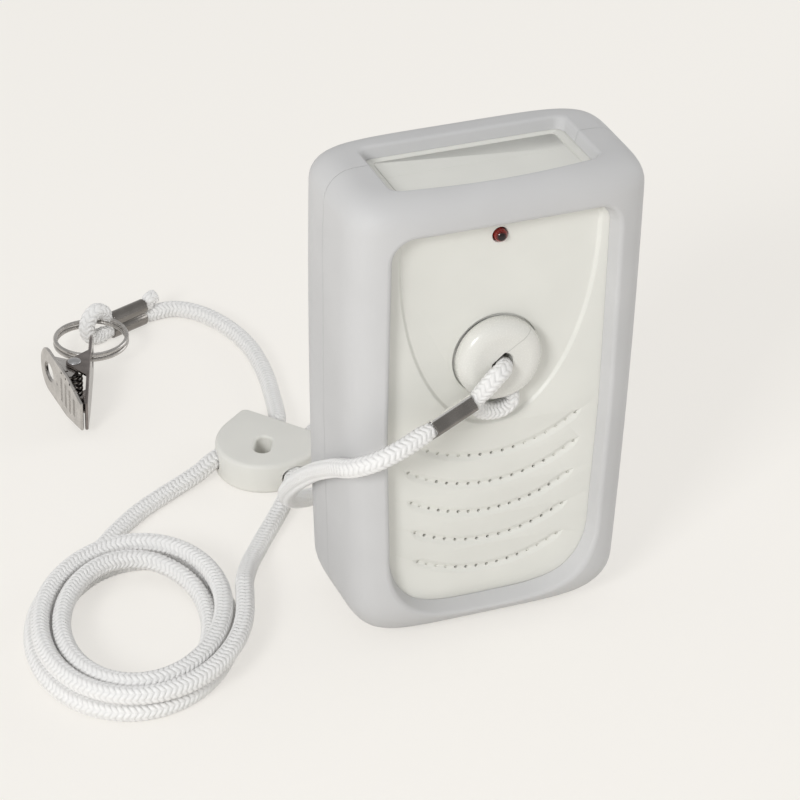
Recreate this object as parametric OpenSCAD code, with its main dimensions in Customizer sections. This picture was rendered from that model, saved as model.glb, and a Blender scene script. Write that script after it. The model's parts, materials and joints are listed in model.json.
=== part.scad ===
// Personal alarm in a soft rubber boot, with a magnet that pulls off, and its cord and clip.
// Millimetres. +Z up, the front faces -Y, the origin is under the middle of the boot.
// A hollow boot holds two half shells. The cord lies on the surface that the boot stands on.

/* [Boot] */
// Height of the boot
boot_h = 115; // [106:0.5:124]
// Width of the boot at half height, before its bow
boot_w = 67.5; // [65:0.5:76]
// Depth of the boot
boot_d = 38.2; // [37.6:0.2:44]
// How much wider the top is than the bottom
boot_taper = 0.048; // [0:0.002:0.07]
// Squareness of the boot's plan
boot_square = 5.2; // [3.5:0.1:8]
// Rubber at the sides
boot_wall = 3.2; // [2.4:0.1:3.6]
// Rounding of the top edge
top_round = 7; // [4:0.5:9]
// Rounding of the bottom edge
foot_round = 12; // [6:0.5:13]

/* [Boot openings] */
// Width of the front opening near its top
win_w = 55; // [50:0.5:56]
// Width of the front opening near its bottom
win_w_low = 51; // [46:0.5:52]
// Rubber left under the front opening
win_low = 7.7; // [7:0.1:10]
// Rubber left over the front opening
win_high = 8.2; // [7:0.1:12]
// Width of the opening in the top
top_w = 48.8; // [44:0.2:50]
// Width of the opening in the back
rear_w = 46; // [40:0.5:47]

/* [Case] */
// Wall of the two half shells
case_wall = 2.2; // [1.8:0.1:2.6]
// Front face of the case, measured from the boot's middle plane
face_y = 14.4; // [14:0.1:14.8]
// Back face of the case, measured from the boot's middle plane
back_y = 15.6; // [15.2:0.1:16]
// Corner radius of the case
case_r = 4; // [3:0.25:5]
// Outer diameter of the bosses for the case screws
boss_d = 6.4; // [5.4:0.1:7]
// Shank diameter of the case screws
screw_d = 2.9; // [2.5:0.1:3.2]

/* [Front panel] */
// Depth of the shield-shaped recess
shield_deep = 0.5; // [0.3:0.1:0.7]
// Half width of the shield
shield_a = 21.2; // [19:0.2:23]
// Depth of the shield's round end
shield_b = 31; // [28:0.5:33]
// Lamp's middle below the top of the boot
lamp_down = 13.8; // [12:0.2:17]
// Lowest row of sound holes
grille_z = 15.5; // [14.5:0.1:17]
// Distance between the rows of sound holes
grille_step = 7.5; // [7:0.1:7.7]
// Radius of each curved row
grille_r = 34.5; // [30:0.5:40]
// Diameter of a sound hole
grille_hole = 1.2; // [1:0.1:1.5]

/* [Magnet disc] */
// Height of the disc's centre
disc_z = 71.2; // [70:0.2:73]
// Diameter of the disc
disc_d = 20; // [19:0.2:20.6]
// How far the disc stands out of the panel
disc_out = 4; // [3.8:0.1:4.6]
// Depth of the socket behind it, from the panel
socket_deep = 1.3; // [1.1:0.1:1.4]
// Hole for the cord
disc_hole = 5.4; // [5.2:0.1:5.8]

/* [Inside] */
// Height of the loudspeaker's centre
speaker_z = 30.5; // [29:0.5:32]
// Diameter of the loudspeaker
speaker_d = 36; // [30:0.5:38]
// Height of the battery's lower end
battery_z = 11.6; // [11.4:0.1:12.4]
// Thickness of the circuit board
board_t = 1.6; // [1.2:0.1:2]
// Width of the circuit board
board_w = 43; // [40:0.5:44]
// Half travel of the volume slider
slider_travel = 2; // [1:0.25:2.5]

/* [Cord] */
// Diameter of the braided cord
cord_d = 4.4; // [4:0.1:4.4]
// Diameter to which a metal sleeve squeezes it
crimp_d = 3.2; // [2.8:0.1:3.2]
// Sheet of the metal sleeves
sleeve_t = 0.45; // [0.3:0.05:0.6]
// Length of the metal sleeves
sleeve_len = 11; // [9:0.5:12]
// Step between neighbouring loops of the coil
coil_pitch = 4.9; // [4.85:0.05:5.1]

/* [Clip] */
// Width of the clip's plates
clip_w = 12; // [11:0.5:13]
// Sheet of the clip
clip_t = 0.8; // [0.6:0.1:1]
// Angle between the two plates at rest
clip_angle = 22; // [20:1:24]
// Mean radius of the split ring
ring_r = 9.2; // [8.8:0.1:9.4]
// Wire of the split ring
ring_wire = 1.1; // [0.9:0.1:1.1]

/* [Adjuster] */
// Thickness of the cord adjuster
adj_t = 8; // [7.4:0.1:9]
// Bore of its two cord channels
adj_bore = 5; // [4.9:0.1:5.4]

/* [Hidden] */
$fn = 32;
// Clearances
fit = 0.05;
gap = 0.3;
// Case
case_z0 = 3;
case_z1 = boot_h - 3;
case_in = case_wall;
wall_in_y = -face_y + case_wall;
back_in_y = back_y - case_wall;
case_edge = 3;
case_foot = foot_round - case_z0;
// Case screws
boss_x = 25.5;
boss_low = 13;
boss_high = boot_h - 15;
head_d = 5.6;
// Panel
lamp_z = boot_h - lamp_down;
panel_z = boot_h - 29;
panel_top = boot_h - 11;
grille_rows = [15, 15, 17, 17, 17];
grille_half = [17.2, 18.1, 19.2, 20.2, 20.3];
// Battery and its bay
bat_w = 26.5;
bat_d = 17.5;
bat_h = 48.5;
bat_y = -4.3;
bay_w = bat_w + 0.8;
// Battery door
door_w = 30.4;
door_top = battery_z + bat_h + 6.9;
bay_out = door_w / 2 + 1.6;
door_t = 1.8;
pivot_y = back_y - 2;
pivot_z = battery_z - 2;
// Circuit board: it starts over the battery, and its chip hangs from the lamp's height
board_y = 5;
board_z0 = battery_z + bat_h + 9.3;
board_z1 = boot_h - 8;
post_x = board_w / 2 - 3;
slot_z = board_z0 + 6.6;
reed_z = disc_z + 10;
chip_z = lamp_z - 16.2;
// Disc
disc_y0 = -face_y - disc_out;
socket_y = -face_y + socket_deep;
disc_y1 = socket_y - fit;
seat_y = socket_y + 1;
chan_dir = -72.5;
chan_w = 5;
chan_y = disc_y0 + 1;
// Sleeve on the disc: where its middle starts, the way it points and the way its barrels stack
slv_at = [-8.3, -19.6, 63.2];
slv_dir = unit([-0.93, -0.22, -0.29]);
slv_up = unit([-0.024, -0.758, 0.652]);
barrel = crimp_d / 2;
slv_front = slv_at + barrel * slv_up;
slv_back = slv_at - barrel * slv_up;
slv_front_end = slv_front + sleeve_len * slv_dir;
slv_back_end = slv_back + sleeve_len * slv_dir;
// Sleeve at the clip
slc_at = [-31.1, 141.8, 0];
slc_dir = unit([-0.93, -0.37, 0]);
slc_low = crimp_d / 2 + sleeve_t + 0.1;
slc_high = slc_low + crimp_d;
slc_end = slc_at + sleeve_len * slc_dir;
// Split ring and clip
ring_in = 3.6;
ring_az = 238;
ring_c = slc_end + ring_in * slc_dir + ring_r * [cos(ring_az), sin(ring_az), 0];
ring_z = cord_d + ring_wire / 2 - 0.1;
ring_step = ring_wire + 0.3;
clip_turn = 250;
clip_hole = ring_c + ring_r * [cos(clip_turn), sin(clip_turn), 0];
tip_x = 28.5;
pivot_len = 17;
pin_x = tip_x - pivot_len * cos(clip_angle / 2);
pin_y = -pivot_len * sin(clip_angle / 2);
pin_d = 2;
// Adjuster
adj_c = [-25.6, 64.5, 0];
adj_turn = 37.7;
adj_mouth = 11;
// Cord
rc = cord_d / 2;
cz = rc;
coil_c = [-77.5, 6, 0];
coil_az = 23;
coil_a = 24.5;
coil_b = 33;
coil_from = 135;
coil_turns = 3.65;
coil_rise = cord_d + 0.5;
coil_rings = 24;

// Route of the cord, by hand, in the order in which it leaves the disc
lead_route = [[-21.6, -23.9, 60.1], [-26.5, -24.8, 58.4], [-32, -24.2, 56], [-36, -20.4, 53],
  [-37.2, -14, 49.6], [-37, -7, 45], [-36.8, 1, 39.4], [-36.6, 9, 33], [-36, 16.6, 26.4],
  [-34.8, 23.6, 19.8], [-31.8, 30.2, 13.6], [-26.8, 36.4, 8.4], [-20.4, 42, 4.6],
  [-12.6, 46.6, 2.8], [-4, 51.4, cz], [3, 58, cz], [5, 66.5, cz], [0.6, 73.6, cz],
  [-6.6, 73.8, 2.8], [-11.5, 69.1, adj_t / 2]];
from_route = [[-45, 21, 3.6], [-39.8, 29, cz], [-34, 36.5, cz], [-28.4, 43.4, 2.9],
  [-23.6, 50, adj_t / 2]];
to_route = [[-43.5, 63.2, 2.9], [-52, 59, cz], [-61, 53.4, cz], [-68.4, 47.4, cz],
  [-74.4, 41.6, cz]];
clip_route = [[-14.8, 85.5, 3], [-13, 93, cz], [-11.4, 101, cz], [-10.4, 109.5, cz],
  [-10.2, 118, cz], [-11.6, 127, cz], [-14.4, 134.8, cz], [-18.5, 140.6, cz],
  [-23.2, 143.2, 2.2]];

function unit(v) = v / norm(v);
function mix(a, b, t) = a + (b - a) * t;
function clamp(x, a, b) = max(a, min(b, x));
// Points of an arc in a plane
function arc(cx, cy, r, a0, a1, n) =
  [for (i = [0:n]) [cx + r * cos(mix(a0, a1, i / n)), cy + r * sin(mix(a0, a1, i / n))]];
// A smooth curve through points p, with n steps between neighbours
function spline(a, b, c, d, t) =
  0.5 * (2 * b + (c - a) * t + (2 * a - 5 * b + 4 * c - d) * t * t
  + (3 * b - a - 3 * c + d) * t * t * t);
function at(p, i) = i < 0 ? 2 * p[0] - p[1]
  : i >= len(p) ? 2 * p[len(p) - 1] - p[len(p) - 2] : p[i];
function smooth(p, n) = concat([for (i = [0:len(p) - 2]) for (k = [0:n - 1])
  spline(at(p, i - 1), p[i], p[i + 1], at(p, i + 2), k / n)], [p[len(p) - 1]]);
// The same for a cord, whose middle never sinks under its own radius
function laid(p, n) = [for (q = smooth(p, n)) [q[0], q[1], max(q[2], rc)]];
// Directions along a path, and one side vector carried along it without twist
function heads(p) = [for (i = [0:len(p) - 1])
  unit(p[min(i + 1, len(p) - 1)] - p[max(i - 1, 0)])];
function first_side(h) = unit(abs(h[2]) < 0.8 ? cross(h, [0, 0, 1]) : cross(h, [0, 1, 0]));
function sides(t) = [for (i = 0, u = first_side(t[0]); i < len(t);
  i = i + 1, u = i < len(t) ? unit(u - (u * t[i]) * t[i]) : u) u];
// Rings of a tube along path p: r is one radius or one for each point
function tube_rings(p, r, n) = let (t = heads(p), u = sides(t))
  [for (i = [0:len(p) - 1]) let (v = cross(t[i], u[i]), q = is_list(r) ? r[i] : r)
    [for (k = [0:n - 1]) p[i] + q * (cos(360 * k / n) * u[i] + sin(360 * k / n) * v)]];
// A closed skin over rings of points
module skin(rings) {
  n = len(rings[0]);
  m = len(rings);
  pts = [for (r = rings) for (p = r) p];
  wall = [for (i = [0:m - 2]) for (k = [0:n - 1]) let (a = i * n + k, b = i * n + (k + 1) % n)
    each [[a, b + n, b], [a, a + n, b + n]]];
  polyhedron(pts, concat([[for (k = [0:n - 1]) k]], wall,
    [[for (k = [0:n - 1]) m * n - 1 - k]]), convexity = 6);
}
module tube(p, r, n = 8) {
  skin(tube_rings(p, r, n));
}

// Plan of the boot at height z, drawn in by g
function boot_half(z) = let (s = 2 * z / boot_h - 1)
  boot_w / 2 * (1 + boot_taper * s) + 0.9 * (1 - s * s);
function sgn_pow(c, e) = c < 0 ? -pow(-c, e) : pow(c, e);
function boot_ring(z, g) = let (a = boot_half(z) - g, b = boot_d / 2 - g)
  [for (i = [0:47]) let (t = 7.5 * i)
    [a * sgn_pow(cos(t), 2 / boot_square), b * sgn_pow(sin(t), 2 / boot_square), z]];
// Outline of the front opening, drawn in by g
function window_right(g) = concat(
  arc(win_w / 2 - 5.5, boot_h - win_high - 5.5, 5.5 - g, 90, 0, 6),
  [[win_w / 2 - 0.7 - g, 54], [win_w_low / 2 + 0.1 - g, 29]],
  arc(win_w_low / 2 - 9.2, win_low + 9.2, 9.2 - g, 0, -90, 8));
function mirrored(p) = [for (i = [len(p) - 1:-1:0]) [-p[i][0], p[i][1]]];
function window_ring(g, y) = let (r = window_right(g), w = concat(mirrored(r), r))
  [for (i = [len(w) - 1:-1:0]) [w[i][0], y, w[i][1]]];
// Outline of the top opening: its front edge bows forwards
function top_ring(g, z) = let (a = top_w / 2 - g) concat(
  [for (i = [0:10]) let (x = mix(-a + 2.5, a - 2.5, i / 10))
    [x, -12.9 + g + 1.9 * pow(x / (top_w / 2), 2), z]],
  [for (q = arc(a - 2.5, -8.6 + g, 2.5, -60, 0, 3)) [q[0], q[1], z]],
  [for (q = arc(a - 2.5, 7 - g, 2.5, 0, 90, 4)) [q[0], q[1], z]],
  [for (q = arc(-a + 2.5, 7 - g, 2.5, 90, 180, 4)) [q[0], q[1], z]],
  [for (q = arc(-a + 2.5, -8.6 + g, 2.5, 180, 240, 3)) [q[0], q[1], z]]);
// Plan of the case at height z, drawn in by g
function case_ring(z, g) = let (a = boot_half(z) - boot_wall - g, r = max(0.8, case_r - g),
  y0 = -face_y + g, y1 = back_y - g)
  [for (q = concat(arc(a - r, y1 - r, r, 0, 90, 5), arc(-a + r, y1 - r, r, 90, 180, 5),
    arc(-a + r, y0 + r, r, 180, 270, 5), arc(a - r, y0 + r, r, 270, 360, 5))) [q[0], q[1], z]];
module case_solid(g) {
  z0 = case_z0 + g;
  z1 = case_z1 - g;
  e = max(0.6, case_edge - g);
  f = max(0.6, case_foot - g);
  skin(concat([for (k = [0:5]) case_ring(z0 + f * (1 - cos(18 * k)), g + f * (1 - sin(18 * k)))],
    [for (k = [1:4]) case_ring(mix(z0 + f, z1 - e, k / 5), g)],
    [for (k = [3:-1:0]) case_ring(z1 - e * (1 - cos(30 * k)), g + e * (1 - sin(30 * k)))]));
}
// Helpers for pieces that point backwards, along +Y
module ycyl(x, z, y0, y1, d) {
  translate([x, y0, z]) rotate([-90, 0, 0]) cylinder(d = d, h = y1 - y0);
}
module ycone(x, z, y0, y1, d0, d1) {
  translate([x, y0, z]) rotate([-90, 0, 0]) cylinder(d1 = d0, d2 = d1, h = y1 - y0);
}
module yext(y0, y1) {
  translate([0, y1, 0]) rotate([90, 0, 0]) linear_extrude(y1 - y0) children();
}
module ybox(x0, x1, y0, y1, z0, z1) {
  translate([x0, y0, z0]) cube([x1 - x0, y1 - y0, z1 - z0]);
}
module at_bosses() {
  for (x = [-boss_x, boss_x]) for (z = [boss_low, boss_high]) translate([x, 0, z]) children();
}
module at_posts() {
  for (x = [-post_x, post_x]) for (z = [board_z0 + 3, board_z1 - 3])
    translate([x, 0, z]) children();
}

module boot() {
  color([0.78, 0.79, 0.8]) difference() {
    skin(concat(
      [for (k = [0:6]) boot_ring(foot_round * (1 - cos(15 * k)), foot_round * (1 - sin(15 * k)))],
      [for (k = [1:5]) boot_ring(mix(foot_round, boot_h - top_round, k / 6), 0)],
      [for (k = [5:-1:0])
        boot_ring(boot_h - top_round * (1 - cos(18 * k)), top_round * (1 - sin(18 * k)))]));
    case_solid(-0.1);
    // Front opening, with an eased lip
    skin([window_ring(1.2, -face_y + 1), window_ring(0.5, -boot_d / 2 + 1.8),
      window_ring(0, -boot_d / 2 + 1), window_ring(-1.4, -boot_d / 2 - 1)]);
    skin([top_ring(0.6, case_z1 - 1), top_ring(0, boot_h - 0.8), top_ring(-1, boot_h + 0.5)]);
    yext(back_y - 2.2, boot_d / 2 + 1) rear_outline();
  }
}
module rear_outline() {
  hull() {
    for (x = [-1, 1]) for (z = [12.6, boot_h - 16]) translate([x * (rear_w / 2 - 6), z])
      circle(r = 6);
  }
}
module shield_outline() {
  e = [for (i = [0:24]) let (t = 180 + 7.5 * i)
    [shield_a * cos(t), panel_z + shield_b * sin(t)]];
  polygon(concat(e, [[shield_a + 1.8, panel_top], [-shield_a - 1.8, panel_top]]));
}
module grille_holes() {
  for (k = [0:4]) let (n = grille_rows[k], half = asin(grille_half[k] / grille_r))
    for (i = [0:n - 1]) let (t = mix(-half, half, i / (n - 1)))
      ycyl(grille_r * sin(t), grille_z + k * grille_step + grille_r * (1 - cos(t)),
        -face_y - 1, wall_in_y + 1, grille_hole, $fn = 6);
}
module grille_grooves() {
  for (k = [0:4]) let (half = asin(grille_half[k] / grille_r) + 2)
    translate([0, -face_y - 0.5, grille_z + k * grille_step + grille_r]) rotate([90, 0, 0])
      rotate([0, 0, -90 - half]) rotate_extrude(angle = 2 * half)
        translate([grille_r, 0]) circle(r = 0.9, $fn = 12);
}
module front_shell() {
  color([0.93, 0.925, 0.9]) difference() {
    union() {
      difference() {
        case_solid(0);
        case_solid(case_in);
        ybox(-60, 60, 0, 60, -5, boot_h + 5);
      }
      // Screw bosses, speaker seat, keeper seat and the two posts that hold the reed
      at_bosses() ycyl(0, 0, wall_in_y - 0.4, -fit, boss_d);
      difference() {
        ycyl(0, speaker_z, wall_in_y - 0.4, wall_in_y + 3.4, speaker_d + 3.4);
        ycyl(0, speaker_z, wall_in_y - 1, wall_in_y + 4, speaker_d + 2 * gap);
      }
      ycyl(0, disc_z, socket_y + 0.2, seat_y, 23);
      difference() {
        ycyl(0, disc_z, seat_y - 0.4, seat_y + 1.3, 23);
        ycyl(0, disc_z, seat_y - 1, seat_y + 2, 20.4);
      }
      for (x = [-12.4, 12.4]) ybox(x - 0.8, x + 0.8, seat_y - 1.2, -7.6, disc_z - 2, disc_z + 2);
    }
    at_bosses() ycyl(0, 0, wall_in_y + 1.6, 1, screw_d + 2 * fit);
    yext(-face_y - 2, -face_y + shield_deep) shield_outline();
    ycyl(0, disc_z, -face_y - 2, socket_y, disc_d + 2.4);
    ycyl(0, lamp_z, -face_y - 2, wall_in_y + 2, 3.4);
    grille_holes();
    grille_grooves();
    for (x = [-12.4, 12.4]) {
      ycyl(x, disc_z, -9.4, -7, 0.9, $fn = 8);
      translate([x - 1.5, -9.4, disc_z]) rotate([0, 90, 0]) cylinder(d = 0.9, h = 3, $fn = 16);
      ybox(x - 1.5, x + 1.5, -9.4, -7, disc_z - 0.45, disc_z + 0.45);
    }
  }
}
module keyhole(x, z) {
  ycyl(x, z, back_in_y - 1, back_y + 1, 8);
  ybox(x - 2, x + 2, back_in_y - 1, back_y + 1, z, z + 8);
  ycyl(x, z + 8, back_in_y - 1, back_y + 1, 4);
}
module rear_shell() {
  color([0.93, 0.925, 0.9]) difference() {
    union() {
      difference() {
        case_solid(0);
        case_solid(case_in);
        ybox(-60, 60, -60, 0, -5, boot_h + 5);
      }
      at_bosses() ycyl(0, 0, fit, back_in_y + 0.4, boss_d + 1.6);
      at_posts() ycyl(0, 0, board_y + board_t, back_in_y + 0.4, 5);
      // Battery bay: two side walls, a floor and a front wall behind the speaker
      for (s = [0, 1]) mirror([s, 0, 0]) {
        ybox(bay_w / 2, bay_out, bat_y - 1.2, pivot_y - 2.2, 9, door_top);
        ybox(door_w / 2 + gap, bay_out, pivot_y - 2.6, back_in_y + 0.4, 9, door_top);
        ybox(door_w / 2 + 0.2, door_w / 2 + 3.6, pivot_y - 2.4, back_in_y + 0.4,
          pivot_z - 2.4, pivot_z + 2.4);
      }
      ybox(-bay_out, bay_out, bat_y - 1.2, bat_y - 0.2, 9, door_top);
      ybox(-bay_out, bay_out, bat_y - 1.2, pivot_y - 2.2, battery_z - 1.3, battery_z - 0.1);
    }
    // Countersunk holes for the case screws
    at_bosses() ycyl(0, 0, -1, back_y + 1, screw_d + 0.5);
    at_bosses() ycyl(0, 0, back_y - 4, back_y + 1, head_d + 0.6);
    at_posts() ycyl(0, 0, board_y, back_in_y - 0.4, 1.8);
    // Door opening and its two pivot holes
    ybox(-door_w / 2 - gap, door_w / 2 + gap, pivot_y - 2.1, back_y + 1, pivot_z - 2.2,
      pivot_z + 2.6);
    ybox(-door_w / 2 - gap, door_w / 2 + gap, back_in_y, back_y + 1, pivot_z - 2.2,
      door_top + gap);
    ybox(-bay_w / 2, bay_w / 2, bat_y, back_y, pivot_z + 3.4, door_top + gap);
    translate([-door_w / 2 - 2.6, pivot_y, pivot_z]) rotate([0, 90, 0])
      cylinder(d = 1.8 + 2 * fit, h = door_w + 5.2);
    // Slot for the slider and two keyholes for hanging
    ybox(-3 - slider_travel, 3 + slider_travel, back_in_y - 1, back_y + 1, slot_z - 1.7,
      slot_z + 1.7);
    keyhole(-15, boot_h - 26);
    keyhole(15, boot_h - 26);
  }
}
module battery_door() {
  color([0.93, 0.925, 0.9]) union() {
    ybox(-door_w / 2, door_w / 2, back_y - door_t, back_y, pivot_z, door_top);
    translate([-door_w / 2, pivot_y, pivot_z]) rotate([0, 90, 0])
      cylinder(r = 1.6, h = door_w);
    translate([-door_w / 2 - 2.4, pivot_y, pivot_z]) rotate([0, 90, 0])
      cylinder(d = 1.8, h = door_w + 4.8);
    for (k = [0:3]) ybox(-6, 6, back_y - 0.5, back_y + 0.5, 58 + 1.8 * k, 58.8 + 1.8 * k);
  }
}
module case_screws() {
  color([0.7, 0.7, 0.72]) at_bosses() difference() {
    union() {
      ycyl(0, 0, wall_in_y + 3, back_y - 4, screw_d);
      ycyl(0, 0, back_y - 4, back_y - 2.2, head_d);
    }
    for (a = [0, 90]) translate([0, back_y - 2.2, 0]) rotate([0, a, 0])
      cube([3, 1.6, 0.8], center = true);
  }
}
module circuit_board() {
  color([0.13, 0.42, 0.25]) difference() {
    ybox(-board_w / 2, board_w / 2, board_y, board_y + board_t - fit, board_z0, board_z1);
    at_posts() ycyl(0, 0, board_y - 1, board_y + board_t + 1, 2.3);
    for (x = [-1.27, 1.27]) ycyl(x, lamp_z, board_y - 1, board_y + board_t + 1, 0.9, $fn = 16);
  }
}
module board_screws() {
  color([0.7, 0.7, 0.72]) at_posts() union() {
    ycyl(0, 0, board_y - 1.5, board_y - fit, 3.6);
    ycyl(0, 0, board_y - 1, board_y + board_t + 4, 1.7);
  }
}
module lamp() {
  color([0.45, 0.05, 0.05]) union() {
    translate([0, -face_y + 0.6, lamp_z]) sphere(d = 3, $fn = 24);
    ycyl(0, lamp_z, -face_y + 0.6, -8.6, 3);
    ycyl(0, lamp_z, -9.4, -8.4, 3.8);
    for (x = [-1.27, 1.27]) ycyl(x, lamp_z, -9, board_y + board_t + 0.6, 0.5, $fn = 8);
  }
}
module lamp_spacer() {
  color([0.15, 0.15, 0.16]) difference() {
    ycyl(0, lamp_z, -8.35, board_y - fit, 5);
    ycyl(0, lamp_z, -9, board_y + 1, 3.6);
  }
}
module reed_switch() {
  color([0.6, 0.75, 0.7]) translate([-7, -9.4, disc_z]) rotate([0, 90, 0]) union() {
    cylinder(d = 2.2, h = 14);
    translate([0, 0, -7.5]) cylinder(d = 0.6, h = 29, $fn = 12);
  }
}
module reed_leads() {
  color([0.8, 0.75, 0.2]) for (x = [-1, 1])
    tube(smooth([[x * 14.8, -9.4, disc_z], [x * 16.2, -8.6, disc_z], [x * 17.2, -5, disc_z + 1],
      [x * 16.4, -1, disc_z + 5], [x * 15, 2.2, disc_z + 9], [x * 14, board_y - fit, reed_z]],
      2), 0.45, 6);
}
module keeper_ring() {
  color([0.6, 0.61, 0.63]) difference() {
    ycyl(0, disc_z, seat_y + fit, seat_y + 1, 20);
    ycyl(0, disc_z, seat_y - 1, seat_y + 2, 9);
  }
}
module speaker_gasket() {
  color([0.2, 0.2, 0.21]) difference() {
    ycyl(0, speaker_z, wall_in_y + fit, wall_in_y + 0.8, speaker_d);
    ycyl(0, speaker_z, wall_in_y - 1, wall_in_y + 2, speaker_d - 4);
  }
}
module speaker_basket() {
  color([0.35, 0.35, 0.37]) difference() {
    union() {
      ycyl(0, speaker_z, wall_in_y + 0.85, wall_in_y + 1.9, speaker_d);
      ycone(0, speaker_z, wall_in_y + 1.85, wall_in_y + 3.6, speaker_d - 4, 20);
    }
    ycone(0, speaker_z, wall_in_y + 0.8, wall_in_y + 2.9, speaker_d - 4, 18);
    ycyl(0, speaker_z, wall_in_y, wall_in_y + 5, 12);
  }
}
module speaker_magnet() {
  color([0.5, 0.5, 0.52]) ycyl(0, speaker_z, wall_in_y + 3.65, bat_y - 1.2 - gap, 19);
}
module speaker_cone() {
  color([0.12, 0.12, 0.13]) union() {
    difference() {
      ycone(0, speaker_z, wall_in_y + 0.9, wall_in_y + 2.4, speaker_d - 5.2, 14);
      ycone(0, speaker_z, wall_in_y + 0.4, wall_in_y + 2, speaker_d - 5.2, 13);
    }
    ycyl(0, speaker_z, wall_in_y + 1.5, wall_in_y + 2.4, 14);
    ycyl(0, speaker_z, wall_in_y + 2.3, wall_in_y + 3.55, 11);
  }
}
module speaker_leads() {
  color([0.7, 0.15, 0.12]) for (k = [0, 2])
    tube(smooth([[8 + k * 0.7, -7.2, speaker_z + 6.8 - k], [12 + k, -7, speaker_z + 10 - k],
      [15 + k, -7, board_z0 - 21.4], [15.2 + k, -7, board_z0 - 12.4],
      [14.2 + k, -6.9, board_z0 - 3.9], [13 + k, -4.8, board_z0 + 0.4],
      [11.8 + k, 0, board_z0 + 4.2], [11.4 + k, board_y - 2, board_z0 + 6.2],
      [11.4 + k, board_y - fit, board_z0 + 6.2]], 2), 0.6, 6);
}
module switch_body() {
  color([0.3, 0.31, 0.33]) difference() {
    ybox(-7, 7, board_y + board_t, back_in_y - 0.5, slot_z - 3, slot_z + 3);
    ybox(-3 - slider_travel, 3 + slider_travel, board_y + board_t + 1.6, back_in_y + 1,
      slot_z - 1.7, slot_z + 1.7);
  }
}
module volume_slider() {
  color([0.16, 0.16, 0.17]) difference() {
    ybox(-2.6, 2.6, board_y + board_t + 1.8, back_y + 0.7, slot_z - 1.4, slot_z + 1.4);
    for (x = [-1.5, 0, 1.5]) ybox(x - 0.3, x + 0.3, back_y + 0.3, back_y + 2, slot_z - 2,
      slot_z + 2);
  }
}
module battery() {
  color([0.35, 0.36, 0.4]) ybox(-bat_w / 2, bat_w / 2, bat_y, bat_y + bat_d, battery_z,
    battery_z + bat_h - 2.9);
}
module battery_terminals() {
  color([0.75, 0.72, 0.6]) translate([0, bat_y + bat_d / 2, battery_z + bat_h - 2.9]) union() {
    translate([-6.35, 0, fit]) cylinder(d = 5.7, h = 2.6);
    translate([6.35, 0, fit]) cylinder(d = 7.6, h = 2.6, $fn = 6);
  }
}
module battery_snap() {
  color([0.1, 0.1, 0.11]) translate([0, bat_y + bat_d / 2, battery_z + bat_h - 0.2])
    difference() {
      ybox(-12.6, 12.6, -6.2, 6.2, 0.1, 3.4);
      translate([6.35, 0, -1]) cylinder(d = 5, h = 2.6);
      translate([-6.35, 0, -1]) cylinder(d = 7, h = 2.6);
    }
}
module battery_leads() {
  bz = battery_z + bat_h + 3.2;
  color([0.7, 0.15, 0.12]) for (x = [-1, 1])
    tube(smooth([[x * 4, bat_y + 8, bz + 0.05], [x * 4.6, bat_y + 7.4, bz + 2.6],
      [x * 7, bat_y + 5, bz + 5.4], [x * 10.2, 0.6, bz + 8.8],
      [x * 11, board_y - 2, bz + 9.6], [x * 11, board_y - fit, bz + 9.6]], 2), 0.6, 6);
}
module control_chip() {
  color([0.08, 0.08, 0.09]) union() {
    ybox(-4.9, 4.9, board_y - 3.7, board_y - 0.5, chip_z, chip_z + 6.4);
    for (x = [-3.8, -1.27, 1.27, 3.8]) for (z = [chip_z - 0.7, chip_z + 7.1])
      ybox(x - 0.25, x + 0.25, board_y - 2.4, board_y - fit, z - 0.35, z + 0.35);
    for (x = [-3.8, -1.27, 1.27, 3.8])
      ybox(x - 0.25, x + 0.25, board_y - 2.4, board_y - 2.1, chip_z - 1, chip_z + 7.4);
  }
}
module capacitors() {
  color([0.2, 0.25, 0.5]) for (c = [[-14.2, reed_z + 10.8, 6.3, 9], [13, reed_z + 12.8, 5, 8],
    [12.5, reed_z + 4.8, 5, 6]])
    ycyl(c[0], c[1], board_y - fit - c[3], board_y - fit, c[2]);
}
module resistors() {
  color([0.8, 0.7, 0.5]) for (c = [[-14, reed_z + 4.6], [-4, lamp_z - 21.2],
    [-6.6, lamp_z - 4.2], [6.6, lamp_z - 4.2]])
    translate([c[0] - 3, board_y - 1.15, c[1]]) rotate([0, 90, 0]) cylinder(d = 2.2, h = 6);
}

// The disc: a moulded cap with a hole, a channel in its back for the cord, and two magnets
module disc_cap() {
  r = disc_d / 2;
  high = disc_y1 - 0.65 - disc_y0;
  color([0.95, 0.945, 0.92]) difference() {
    translate([0, disc_y1 - 0.65, disc_z]) rotate([90, 0, 0])
      rotate_extrude($fn = 64) polygon(concat([[0, 0], [r, 0]],
        arc(r - 2.4, high - 2.4, 2.4, 0, 90, 6), [[0, high]]));
    ycyl(0, disc_z, disc_y0 - 2, disc_y1 + 1, disc_hole);
    ycone(0, disc_z, disc_y0 - 0.6, disc_y0 + 0.7, disc_hole + 2.6, disc_hole - 0.2);
    channel(disc_y1 + 1);
    for (x = [-1, 1]) magnet_block(x, 0.1, 1);
  }
}
module channel(y1) {
  translate([0, 0, disc_z]) rotate([0, -chan_dir, 0])
    ybox(0, 14, chan_y, y1, -chan_w / 2, chan_w / 2);
  ycyl(2.6, disc_z - 10.6, chan_y - 0.2, y1, 7.4);
}
module magnet_block(s, g, e) {
  translate([0, 0, disc_z]) rotate([0, -chan_dir, 0])
    translate([-1, 0, s * 5.4]) ybox(-4 - g, 4 + g, disc_y1 - 3.1 - g, disc_y1 - 0.65 + e * g * 30,
      -1.9 - g, 1.9 + g);
}
module disc_magnets() {
  color([0.62, 0.63, 0.66]) for (s = [-1, 1]) magnet_block(s, 0, 0);
}
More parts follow.
